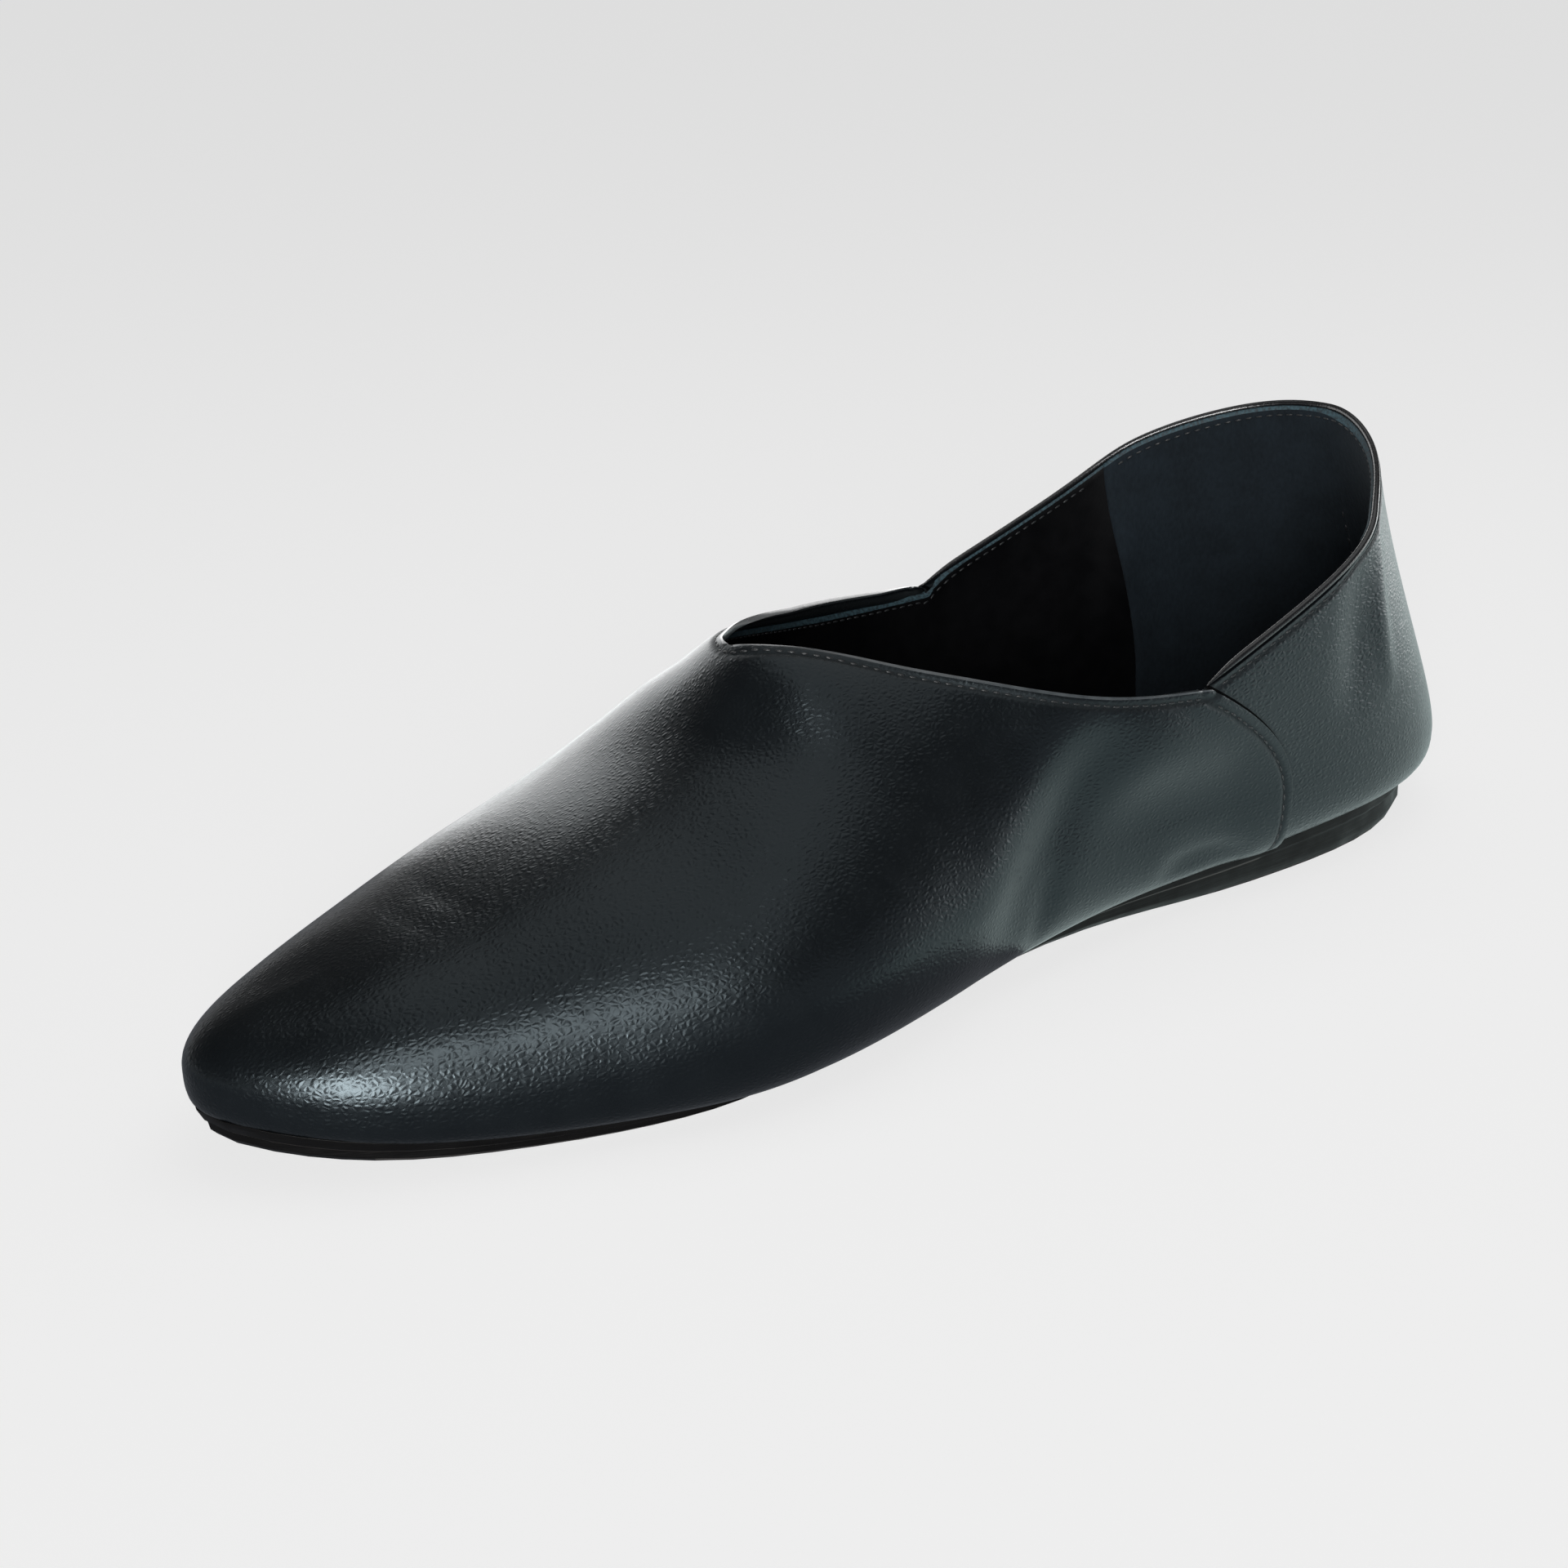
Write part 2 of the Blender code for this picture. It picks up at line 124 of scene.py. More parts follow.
TOPS = (
    Top("heel back", 20.5, 0, 0, 76, 0.22, 0.0, 1, 0.10, 0.38, 0),
    Top("heel turn", 25.5, 0, 15, 72.2, 0.18, 0.05, 1, 0.14, 0.38, 2.4),
    Top("heel", 41, 0, 30, 66.2, 0.12, 0.0, 1, 0.27, 0.36, 1.8),
    Top("seat", 58, -0.5, 36.5, 57, 0.25, -0.05, 1, 0.38, 0.35, 0.8),
    Top("notch", 89, -2.3, 38.3, 44.5, 1.5, 0.10, 0.9, 0.42, 0.40, 1.1),
    Top("throat rear", 118, -0.5, 34, 49.5, 0.15, 0.50, 0.9, 0.44, 0.38, 0.3),
    Top("throat side", 145, 0.5, 17.5, 56.5, 0.0, 0.85, 0.5, 0.42, 0.37, -0.8),
    Top("throat", 162, 0.8, 0, 59.2, -0.2, 1, 0.1, 0.40, 0.24, 0),
    Top("ball", 180, 3, 0, 44.4, 0, 1, 0, 0.45, 0.44, 0),
    Top("joint", 199, 4, 0, 37.3, 0, 1, 0, 0.48, 0.53, 0),
    Top("toes", 217, 4, 0, 31.5, 0, 1, 0, 0.52, 0.60, 0),
    Top("toe", 230, 4, 0, 28.5, 0, 1, 0, 0.54, 0.62, 0),
    Top("toe turn", 238, 4, 0, 26.5, 0, 1, 0, 0.55, 0.62, 0),
    Top("tip", 241, 4, 0, 25.8, 0, 1, 0, 0.55, 0.62, 0),
)

SOLE = (
    SoleRow(0, 8.8),
    SoleRow(40, 8.6),
    SoleRow(70, 7.4),
    SoleRow(105, 4.6),
    SoleRow(145, 2.8),
    SoleRow(190, 2.6),
    SoleRow(230, 3.3),
    SoleRow(262, 3.8),
)


class Fold(Enum):
    """Whether a crease dips into the leather or stands out of it."""

    TROUGH = -1.0
    RIDGE = 1.0


class Crease(NamedTuple):
    """One soft crease: three points that it passes, its half width, its height and its kind."""

    name: str
    start: Point
    middle: Point
    end: Point
    width: float
    height: float
    fold: Fold


CREASES = (
    Crease("vamp dimple", (169, 0, 51), (170, 12, 48.5), (167, 20, 47), 8.5, 0.6, Fold.TROUGH),
    Crease("throat swell", (160, 18, 52), (156, 22, 51), (150, 28, 48.5), 7.0, 0.4, Fold.RIDGE),
    Crease("vamp swell", (178, 6, 45), (181, 18, 42), (177, 30, 39), 9.0, 0.4, Fold.RIDGE),
    Crease("waist ridge", (119, 36.5, 44), (133, 38.5, 31), (146, 43, 17), 7.5, 0.95, Fold.RIDGE),
    Crease("waist trough", (112, 36, 40), (121, 37, 30), (133, 40, 16), 7.5, 1.9, Fold.TROUGH),
    Crease("waist second ridge", (112, 36, 33), (99, 36, 35), (86, 35.7, 32), 5.0, 0.75, Fold.RIDGE),
    Crease("waist hollow", (112, 36, 24), (100, 35, 24), (86, 34.5, 22), 6.0, 0.8, Fold.TROUGH),
    Crease("sole pinch", (94, 34, 12.5), (85, 33.6, 13), (76, 33, 10.5), 2.4, 1.4, Fold.TROUGH),
    Crease("waist pinch", (123, 36.5, 19), (126, 35.5, 14), (128, 34, 10), 2.6, 0.9, Fold.TROUGH),
    Crease("heel ridge", (42.5, 32, 61), (41.5, 32.6, 48), (38, 32.3, 35), 2.6, 0.85, Fold.RIDGE),
    Crease("heel trough", (50.5, 33.5, 59), (50, 34, 47), (49, 34.3, 35), 5.0, 1.1, Fold.TROUGH),
    Crease("throat lip", (166, 7, 52), (158, 10, 54.5), (149, 15, 54.5), 9.0, 2.2, Fold.RIDGE),
    Crease("far throat rim", (153, -11, 57), (146, -17, 56.5), (134, -25, 54), 4.5, 0.8, Fold.RIDGE),
    Crease("far throat fall", (163, -12, 52.5), (154, -22, 51), (144, -30, 49), 6.0, 0.9, Fold.TROUGH),
    Crease("heel outer trough", (44, -32, 56), (43, -32.5, 46), (45, -33.5, 34), 5.0, 0.9, Fold.TROUGH),
    Crease("waist outer trough", (120, -37, 38), (127, -40, 28), (136, -42, 17), 7.0, 1.2, Fold.TROUGH),
    Crease("toe wrinkle rear", (216, -12, 31), (218, 0, 31), (216, 12, 31), 1.7, 0.09, Fold.TROUGH),
    Crease("toe wrinkle", (223, -10, 29.5), (225, 1, 29.5), (223, 13, 29.5), 1.7, 0.07, Fold.TROUGH),
)


def curve(knots: Sequence[float], values: Sequence[float], at: np.ndarray,
          closed: bool = False) -> np.ndarray:
    """Smooth cubic curve through a row of values.

    Args:
        knots: Rising places of the values.
        values: One value per knot.
        at: Places to read the curve at.
        closed: Whether the curve runs on smoothly from its last value to its first.

    Returns:
        The curve's values at the places.
    """
    knots = np.asarray(knots, float)
    values = np.asarray(values, float)
    steps = np.diff(knots)
    count = len(knots)
    slopes = np.diff(values) / steps
    matrix = np.zeros((count, count))
    bend = np.zeros(count)
    for row in range(1, count - 1):
        matrix[row, row - 1] = steps[row - 1]
        matrix[row, row] = 2 * (steps[row - 1] + steps[row])
        matrix[row, row + 1] = steps[row]
        bend[row] = 6 * (slopes[row] - slopes[row - 1])
    if closed:
        matrix[0, 0] = 2 * (steps[0] + steps[-1])
        matrix[0, 1] = steps[0]
        matrix[0, -2] = steps[-1]
        bend[0] = 6 * (slopes[0] - slopes[-1])
        matrix[-1, 0] = 1
        matrix[-1, -1] = -1
    else:
        matrix[0, 0] = 1
        matrix[-1, -1] = 1
    bends = np.linalg.solve(matrix, bend)
    at = np.asarray(at, float)
    cell = np.clip(np.searchsorted(knots, at, side="right") - 1, 0, count - 2)
    step = steps[cell]
    after = (at - knots[cell]) / step
    before = 1 - after
    cubic = (before ** 3 - before) * bends[cell] + (after ** 3 - after) * bends[cell + 1]
    return before * values[cell] + after * values[cell + 1] + cubic * step ** 2 / 6


def soft_step(share: np.ndarray) -> np.ndarray:
    """Share from 0 to 1 with soft ends."""
    share = np.clip(share, 0, 1)
    return share * share * (3 - 2 * share)


@dataclass
class Last:
    """The outer form of the shoe: ribs from the sole up to the top edge, round the whole shoe."""

    length: float = 262.0
    middle: float = 1.009
    sole_gap: float = 0.3
    margin: float = 8.0
    low_square: float = 0.75
    arch_rise: float = 1.6
    arch_from: float = 66.0
    arch_to: float = 150.0
    toe_spring: float = 6.0
    spring_from: float = 204.0
    seam_step: float = 0.9
    seam_fade: float = 16.0
    seam_station: int = 4
    throat_station: int = 7

    def __post_init__(self) -> None:
        """Read the tables and measure the way round the bulge."""
        self.rows = np.array([row[1:] for row in SECTIONS], float)
        self.tops = np.array([row[1:] for row in TOPS], float)
        inner = np.hypot(*np.diff(self.rows[:, (0, 1)], axis=0).T)
        outer = np.hypot(*np.diff(self.rows[:, (0, 2)], axis=0).T)
        self.knots = np.concatenate([[0], np.cumsum((inner + outer) / 2)])
        self.end = self.knots[-1]
        self.seam = self.knots[self.seam_station]
        self.throat = self.knots[self.throat_station]
        self.loop = np.concatenate([self.knots, 2 * self.end - self.knots[-2::-1]])

    def to_frame(self, points: np.ndarray) -> np.ndarray:
        """Points of the last frame as metres of the shared frame."""
        return (points - [self.length / 2, self.middle, 0]) * MILLIMETRE

    def sole_top(self, x: np.ndarray) -> np.ndarray:
        """Height of the sole's upper face over x."""
        rows = np.array(SOLE, float)
        along = np.clip((x - self.arch_from) / (self.arch_to - self.arch_from), 0, 1)
        spring = np.clip((x - self.spring_from) / (self.length - self.spring_from), 0, 1)
        bottom = self.arch_rise * np.sin(math.pi * along) ** 2 + self.toe_spring * spring ** 2
        return bottom + curve(rows[:, 0], rows[:, 1], np.clip(x, 0, self.length))

    def around(self, inner: int, outer: int, ring: np.ndarray) -> np.ndarray:
        """A column of the section table at places of the ring, smooth round heel and toe."""
        values = np.concatenate([self.rows[:, inner], self.rows[-2::-1, outer]])
        return curve(self.loop, values, np.mod(ring, self.loop[-1]), closed=True)

    def top_column(self, column: int, place: np.ndarray) -> np.ndarray:
        """A column of the top table at places of one side.

        Args:
            column: Column number, counted without the name.
            place: Distance from the heel back, round the bulge.

        Returns:
            The column's values, with a corner at the notch and at the throat.
        """
        values = self.tops[:, column]
        sign = -1.0 if column in (2, 5) else 1.0
        result = np.zeros(len(place))
        rows = values[:self.seam_station + 1]
        reach = self.knots[:self.seam_station + 1]
        behind = place < self.seam - TINY
        knots = np.concatenate([-reach[:0:-1], reach])
        result[behind] = curve(knots, np.concatenate([sign * rows[:0:-1], rows]), place[behind])
        rows = values[self.seam_station:self.throat_station + 1]
        reach = self.knots[self.seam_station:self.throat_station + 1]
        knots = np.concatenate([reach, 2 * reach[-1] - reach[-2::-1]])
        mirror = rows[-2::-1] if column == 5 else sign * rows[-2::-1]
        between = (~behind) & (place <= self.throat + TINY)
        result[between] = curve(knots, np.concatenate([rows, mirror]), place[between])
        ahead = place > self.throat + TINY
        knots = self.knots[self.throat_station:]
        result[ahead] = curve(knots, values[self.throat_station:], place[ahead])
        return result

    def ridge_slope(self, place: np.ndarray) -> np.ndarray:
        """Fall of the vamp's ridge per length along the foot."""
        knots = self.knots[self.throat_station:]
        at = np.clip(place, knots[0] + PROBE, knots[-1] - PROBE)
        change = []
        for column in (3, 0):
            values = self.tops[self.throat_station:, column]
            change.append(curve(knots, values, at + PROBE) - curve(knots, values, at - PROBE))
        return change[0] / change[1]

    def ribs(self, ring: np.ndarray) -> list[np.ndarray]:
        """The points that carry each rib.

        Args:
            ring: Places round the shoe, from the heel back along the inner side.

        Returns:
            Margin edge, feather, bulge, two handles of the side and top, each a row of points.
        """
        ring = np.mod(ring, self.loop[-1])
        side = np.where(ring <= self.end, 1.0, -1.0)
        place = np.where(ring <= self.end, ring, self.loop[-1] - ring)
        bulge = np.stack([self.around(0, 0, ring), self.around(1, 2, ring), self.around(3, 3, ring)], 1)
        tuck = self.around(4, 5, ring)
        run_x = self.around(0, 0, ring + PROBE) - self.around(0, 0, ring - PROBE)
        run_y = self.around(1, 2, ring + PROBE) - self.around(1, 2, ring - PROBE)
        out = np.stack([-run_y, run_x], 1) / np.hypot(run_x, run_y)[:, None]
        columns = [self.top_column(column, place) for column in range(10)]
        x, middle, half, z, forward, inward, up, rise, reach, outer_up = columns
        z = np.where(side < 0, z + outer_up, z)
        vamp = place >= self.throat - TINY
        top = np.stack([x, middle + side * np.where(vamp, 0, half), z], 1)
        run = np.stack([forward, -side * inward, up], 1)
        across = (top - bulge) * [1, 1, 0]
        across /= np.linalg.norm(across, axis=1)[:, None]
        across[:, 2] = across[:, 0] * self.ridge_slope(place)
        run = np.where(vamp[:, None], across, run)
        run /= np.linalg.norm(run, axis=1)[:, None]
        chord = np.linalg.norm(top - bulge, axis=1)
        flat = np.hypot(*(top - bulge)[:, :2].T)
        span = flat + (chord - flat) * np.where(vamp, 0, np.clip(run[:, 2], 0, 1))
        lift = (top - bulge)[:, 2]
        feather = bulge.copy()
        feather[:, :2] -= out * tuck[:, None]
        feather[:, 2] = self.sole_top(feather[:, 0]) + self.sole_gap
        edge = feather.copy()
        edge[:, :2] -= out * self.margin
        edge[:, 2] = self.sole_top(edge[:, 0]) + self.sole_gap
        lower = bulge + np.stack([0 * lift, 0 * lift, rise * lift], 1)
        upper = top - run * (reach * span)[:, None]
        return [edge, feather, bulge, lower, upper, top]

    def surface(self, ring: np.ndarray, level: np.ndarray) -> np.ndarray:
        """Points of the form.

        Args:
            ring: Places round the shoe.
            level: Heights on each rib: -1 margin edge, 0 feather, 1 bulge, 2 top;
                one row, or a row per rib.

        Returns:
            Points with a row per rib.
        """
        edge, feather, bulge, lower, upper, top = (part[:, None] for part in self.ribs(ring))
        level = np.broadcast_to(level, (len(ring), np.shape(level)[-1]))[..., None]
        under = edge + (feather - edge) * np.clip(level + 1, 0, 1)
        turn = np.clip(level, 0, 1) * math.pi / 2
        low = feather + (bulge - feather) * np.sin(turn) ** self.low_square
        drop = np.clip(np.cos(turn[..., 0]), 0, 1) ** self.low_square
        low[..., 2] = bulge[..., 2] - (bulge - feather)[..., 2] * drop
        share = np.clip(level - 1, 0, 1)
        rest = 1 - share
        high = rest ** 3 * bulge + 3 * share * rest ** 2 * lower
        high = high + 3 * share ** 2 * rest * upper + share ** 3 * top
        return np.where(level < 0, under, np.where(level < 1, low, high))

    def from_heel(self, ring: np.ndarray) -> np.ndarray:
        """Distance of places from the heel back, by the shorter way round."""
        ring = np.mod(ring, self.loop[-1])
        return np.minimum(ring, self.loop[-1] - ring)

    def raised(self, ring: np.ndarray) -> np.ndarray:
        """How far the vamp stands proud of the quarter near the seam."""
        ahead = self.from_heel(ring) - self.seam
        return self.seam_step * soft_step(1 - ahead / self.seam_fade)


@dataclass
class Creases:
    """The soft creases of the leather, placed on the last."""

    rows: tuple[Crease, ...] = CREASES
    samples: int = 24
    end_share: float = 0.06

    def lift(self, points: np.ndarray) -> np.ndarray:
        """How far the creases move the leather.

        Args:
            points: Points of the last frame, in rows of any shape.

        Returns:
            Distance outwards at each point.
        """
        flat = points.reshape(-1, 3)
        total = np.zeros(len(flat))
        share = np.linspace(0, 1, self.samples)
        for row in self.rows:
            start, middle, end = (np.array(place, float) for place in (row.start, row.middle, row.end))
            handle = 2 * middle - (start + end) / 2
            part = share[:, None]
            path = start * (1 - part) ** 2 + 2 * handle * part * (1 - part) + end * part ** 2
            gap = np.linalg.norm(flat[:, None] - path[None], axis=2)
            along = self.end_share + (1 - 2 * self.end_share) * share
            fade = np.sqrt(np.clip(np.sin(math.pi * along), 0, 1))
            shape = np.exp(-((gap / row.width) ** 2)) * fade
            total += row.fold.value * row.height * shape.max(axis=1)
        return total.reshape(points.shape[:-1])


class Cloud(NamedTuple):
    """Cloudy pattern: its scale, its detail and the stretch of its coordinates."""

    scale: float
    detail: float
    stretch: Point = (1.0, 1.0, 1.0)


class NodeSheet:
    """The node tree of one material, with short ways to add and join nodes."""

    def __init__(self, name: str) -> None:
        """Start a material with its shader and object coordinates."""
        self.material = bpy.data.materials.new(name)
        self.material.use_nodes = True
        self.tree = self.material.node_tree
        self.shader = self.tree.nodes["Principled BSDF"]
        self.place = self.tree.nodes.new("ShaderNodeTexCoord").outputs["Object"]

    def set(self, **values: object) -> None:
        """Set sockets of the shader, named with underscores for spaces."""
        for name, value in values.items():
            self.shader.inputs[name.replace("_", " ")].default_value = value

    def add(self, kind: str, **values: object) -> bpy.types.Node:
        """Add a node and set its sockets."""
        node = self.tree.nodes.new(kind)
        for name, value in values.items():
            node.inputs[name.replace("_", " ")].default_value = value
        return node

    def join(self, source: Socket, target: Socket) -> None:
        """Join an output to an input."""
        self.tree.links.new(source, target)

    def stretched(self, scale: Point) -> Socket:
        """Object coordinates, stretched."""
        node = self.add("ShaderNodeMapping", Scale=scale)
        self.join(self.place, node.inputs["Vector"])
        return node.outputs["Vector"]

    def noise(self, place: Socket, scale: float, detail: float) -> Socket:
        """Cloudy pattern from 0 to 1."""
        node = self.add("ShaderNodeTexNoise", Scale=scale, Detail=detail)
        self.join(place, node.inputs["Vector"])
        return node.outputs["Fac"]

    def cloud(self, cloud: Cloud) -> Socket:
        """Cloudy pattern in object coordinates."""
        return self.noise(self.stretched(cloud.stretch), cloud.scale, cloud.detail)

    def pebbles(self, place: Socket, scale: float, edge: float) -> Socket:
        """Rounded pebbles with narrow valleys between them."""
        node = self.tree.nodes.new("ShaderNodeTexVoronoi")
        node.feature = "DISTANCE_TO_EDGE"
        node.inputs["Scale"].default_value = scale
        self.join(place, node.inputs["Vector"])
        return self.ranged(node.outputs["Distance"], 0.0, edge, 0.0, 1.0, True)

    def rough(self, source: Socket, low: float, high: float) -> Socket:
        """Roughness between two values, from the middle part of a cloudy pattern."""
        return self.ranged(source, 0.3, 0.7, low, high)

    def ranged(self, source: Socket, low: float, high: float, bottom: float, top: float,
               soft: bool = False) -> Socket:
        """A value moved from one range to another."""
        node = self.tree.nodes.new("ShaderNodeMapRange")
        if soft:
            node.interpolation_type = "SMOOTHSTEP"
        for name, value in (("From Min", low), ("From Max", high), ("To Min", bottom), ("To Max", top)):
            node.inputs[name].default_value = value
        self.join(source, node.inputs["Value"])
        return node.outputs["Result"]

    def mix(self, share: Socket, second: Colour) -> bpy.types.Node:
        """A node that goes over to a colour as the share grows."""
        node = self.tree.nodes.new("ShaderNodeMix")
        node.data_type = "RGBA"
        node.inputs[MIX_SECOND].default_value = (*second, 1.0)
        self.join(share, node.inputs[MIX_SHARE])
        return node

    def blended(self, share: Socket, first: Colour, second: Colour) -> Socket:
        """Colour between two colours."""
        node = self.mix(share, second)
        node.inputs[MIX_FIRST].default_value = (*first, 1.0)
        return node.outputs[MIX_RESULT]

    def covered(self, share: Socket, below: Socket, colour: Colour) -> Socket:
        """A pattern of colours, covered by one colour where the share is high."""
        node = self.mix(share, colour)
        self.join(below, node.inputs[MIX_FIRST])
        return node.outputs[MIX_RESULT]

    def added(self, first: Socket, second: Socket) -> Socket:
        """Sum of two patterns."""
        node = self.tree.nodes.new("ShaderNodeMath")
        self.join(first, node.inputs[0])
        self.join(second, node.inputs[1])
        return node.outputs[0]

    def attribute(self, name: str) -> Socket:
        """A value that the mesh carries."""
        node = self.tree.nodes.new("ShaderNodeAttribute")
        node.attribute_name = name
        return node.outputs["Fac"]

    def bumped(self, height: Socket, strength: float, distance: float,
               below: Socket | None = None) -> Socket:
        """Surface direction roughened by a height, on top of another one."""
        node = self.add("ShaderNodeBump", Strength=strength, Distance=distance)
        self.join(height, node.inputs["Height"])
        if below is not None:
            self.join(below, node.inputs["Normal"])
        return node.outputs["Normal"]

    def paint(self, name: str, source: Socket) -> None:
        """Lead a pattern into a socket of the shader."""
        self.join(source, self.shader.inputs[name])


@dataclass(frozen=True)
class GrainLeather:
    """Fine-grained satin leather, with painted shade along stitch lines and seams, where its colour
    goes nearly black and its roughness dull.
    """

    name: str = "upper_leather"
    dark: Colour = (0.0020, 0.0026, 0.0034)
    light: Colour = (0.0038, 0.0047, 0.0058)
    # groove: near-black colour of the painted shade along stitch lines and seams.
    groove: Colour = (0.0008, 0.0009, 0.0012)
    stretch: Point = (0.68, 1.0, 1.0)
    grain: float = 1250.0
    rough_low: float = 0.27
    rough_high: float = 0.32
    groove_rough: float = 0.4
    depth: float = 0.000042
    drift: float = 0.0004

    def make(self) -> Material:
        """Build the material."""
        sheet = NodeSheet(self.name)
        drift = sheet.add("ShaderNodeTexNoise", Scale=700.0, Detail=1.0)
        sheet.join(sheet.place, drift.inputs["Vector"])
        shake = sheet.add("ShaderNodeVectorMath")
        shake.operation = "MULTIPLY_ADD"
        shake.inputs[1].default_value = (self.drift, self.drift, self.drift)
        sheet.join(drift.outputs["Color"], shake.inputs[0])
        sheet.join(sheet.stretched(self.stretch), shake.inputs[2])
        grain = sheet.pebbles(shake.outputs["Vector"], self.grain, 0.5)
        broad = sheet.noise(sheet.place, 170.0, 3.0)
        # Painted shade: the base colour goes over to the groove colour where the painted seam shade
        # share is high; the same share dulls the roughness.
        painted_seam_shade = sheet.attribute("painted_seam_shade")
        plain = sheet.blended(broad, self.dark, self.light)
        sheet.paint("Base Color", sheet.covered(painted_seam_shade, plain, self.groove))
        shine = sheet.rough(broad, self.rough_low, self.rough_high)
        dull = sheet.ranged(painted_seam_shade, 0.0, 1.0, 0.0, self.groove_rough)
        sheet.paint("Roughness", sheet.added(shine, dull))
        base = sheet.bumped(broad, 0.08, 0.0005)
        sheet.paint("Normal", sheet.bumped(grain, 1.0, self.depth, base))
        sheet.set(IOR=1.5, Specular_IOR_Level=0.44, Specular_Tint=(0.77, 0.93, 1.0, 1.0))
        return sheet.material


class Relief(NamedTuple):
    """Fine relief: its pattern, its strength and its depth in metres."""

    cloud: Cloud
    strength: float
    depth: float


@dataclass(frozen=True)
class CloudyFinish:
    """Finish with one cloudy pattern in its colour and roughness, and a fine relief."""

    name: str
    dark: Colour
    light: Colour
    cloud: Cloud
    rough_low: float
    rough_high: float
    relief: Relief
    shine: float = 0.5
    coat: float = 0.0
    coat_rough: float = 0.15

    def make(self) -> Material:
        """Build the material."""
        sheet = NodeSheet(self.name)
        cloud = sheet.cloud(self.cloud)
        sheet.paint("Base Color", sheet.blended(cloud, self.dark, self.light))
        sheet.paint("Roughness", sheet.rough(cloud, self.rough_low, self.rough_high))
        fine = cloud if self.relief.cloud == self.cloud else sheet.cloud(self.relief.cloud)
        sheet.paint("Normal", sheet.bumped(fine, self.relief.strength, self.relief.depth))
        sheet.set(Specular_IOR_Level=self.shine)
        if self.coat > 0:
            sheet.set(Coat_Weight=self.coat, Coat_Roughness=self.coat_rough)
        return sheet.material


def smooth_lining(name: str) -> CloudyFinish:
    """Smooth black lining leather."""
    relief = Relief(Cloud(2600.0, 3.0), 0.25, 0.00012)
    return CloudyFinish(name, (0.0008, 0.0009, 0.0012), (0.0020, 0.0021, 0.0028), Cloud(240.0, 4.0),
                        0.5, 0.62, relief, shine=0.15)


def folded_edge_highlight() -> CloudyFinish:
    """Leather over a folded edge, painted paler as a highlight line, and shiny."""
    highlight_cloud = Cloud(420.0, 4.0)
    return CloudyFinish("folded_edge_highlight", (0.018, 0.022, 0.025), (0.075, 0.086, 0.092), highlight_cloud,
                        0.26, 0.38, Relief(highlight_cloud, 0.2, 0.0002), coat=0.6)


def waxed_thread() -> CloudyFinish:
    """Black waxed sewing thread."""
    plies = Cloud(4200.0, 2.0, (1.0, 1.6, 1.6))
    return CloudyFinish("thread_wax", (0.0025, 0.0028, 0.0034), (0.020, 0.023, 0.025), plies,
                        0.36, 0.55, Relief(plies, 0.5, 0.00012))


def ground_leather() -> CloudyFinish:
    """Underside of the sole, dark and slightly scuffed."""
    scuffs = Cloud(260.0, 6.0, (0.35, 1.0, 1.0))
    return CloudyFinish("sole_ground", (0.013, 0.011, 0.010), (0.034, 0.028, 0.024), scuffs,
                        0.5, 0.72, Relief(Cloud(3000.0, 3.0), 0.3, 0.0002))


@dataclass(frozen=True)
class NappedLining:
    """Dark blue-grey leather with a short nap."""

    name: str = "heel_lining_leather"
    dark: Colour = (0.002, 0.004, 0.006)
    light: Colour = (0.012, 0.018, 0.024)

    def make(self) -> Material:
        """Build the material."""
        sheet = NodeSheet(self.name)
        patches = sheet.noise(sheet.place, 130.0, 5.0)
        fibres = sheet.noise(sheet.stretched((1.0, 1.0, 0.55)), 1500.0, 5.0)
        spread = sheet.ranged(fibres, 0.3, 0.7, 0.2, 0.5)
        mottled = sheet.added(spread, sheet.ranged(patches, 0.3, 0.7, 0.0, 0.4))
        sheet.paint("Base Color", sheet.blended(mottled, self.dark, self.light))
        sheet.paint("Roughness", sheet.rough(patches, 0.78, 0.92))
        sheet.paint("Normal", sheet.bumped(fibres, 0.5, 0.0003))
        sheet.set(Sheen_Weight=0.06, Sheen_Roughness=0.5, Sheen_Tint=(0.55, 0.66, 0.75, 1.0))
        sheet.set(Specular_IOR_Level=0.15)
        return sheet.material


@dataclass(frozen=True)
class RawEdge:
    """Cut edge of the lining, blue-grey and fibrous."""

    name: str = "lining_cut_edge"
    dark: Colour = (0.004, 0.014, 0.020)
    light: Colour = (0.032, 0.072, 0.090)

    def make(self) -> Material:
        """Build the material."""
        sheet = NodeSheet(self.name)
        fibres = sheet.noise(sheet.place, 1900.0, 5.0)
        patches = sheet.ranged(fibres, 0.36, 0.64, 0.0, 1.0)
        sheet.paint("Base Color", sheet.blended(patches, self.dark, self.light))
        sheet.paint("Roughness", sheet.rough(fibres, 0.6, 0.8))
        sheet.paint("Normal", sheet.bumped(fibres, 0.5, 0.0002))
        return sheet.material


@dataclass(frozen=True)
class RolledLeather:
    """Thin leather pulled round an edge, with small cross folds and a shine."""

    name: str = "binding_leather"
    dark: Colour = (0.0030, 0.0034, 0.0042)
    light: Colour = (0.0070, 0.0077, 0.0088)

    def make(self) -> Material:
        """Build the material."""
        sheet = NodeSheet(self.name)
        folds = sheet.noise(sheet.stretched((1.0, 1.0, 0.35)), 700.0, 3.0)
        grain = sheet.pebbles(sheet.place, 1700.0, 0.25)
        sheet.paint("Base Color", sheet.blended(folds, self.dark, self.light))
        sheet.paint("Roughness", sheet.rough(folds, 0.20, 0.30))
        low = sheet.bumped(folds, 0.2, 0.0003)
        sheet.paint("Normal", sheet.bumped(grain, 0.2, 0.0001, low))
        sheet.set(Coat_Weight=0.5, Coat_Roughness=0.15)
        return sheet.material


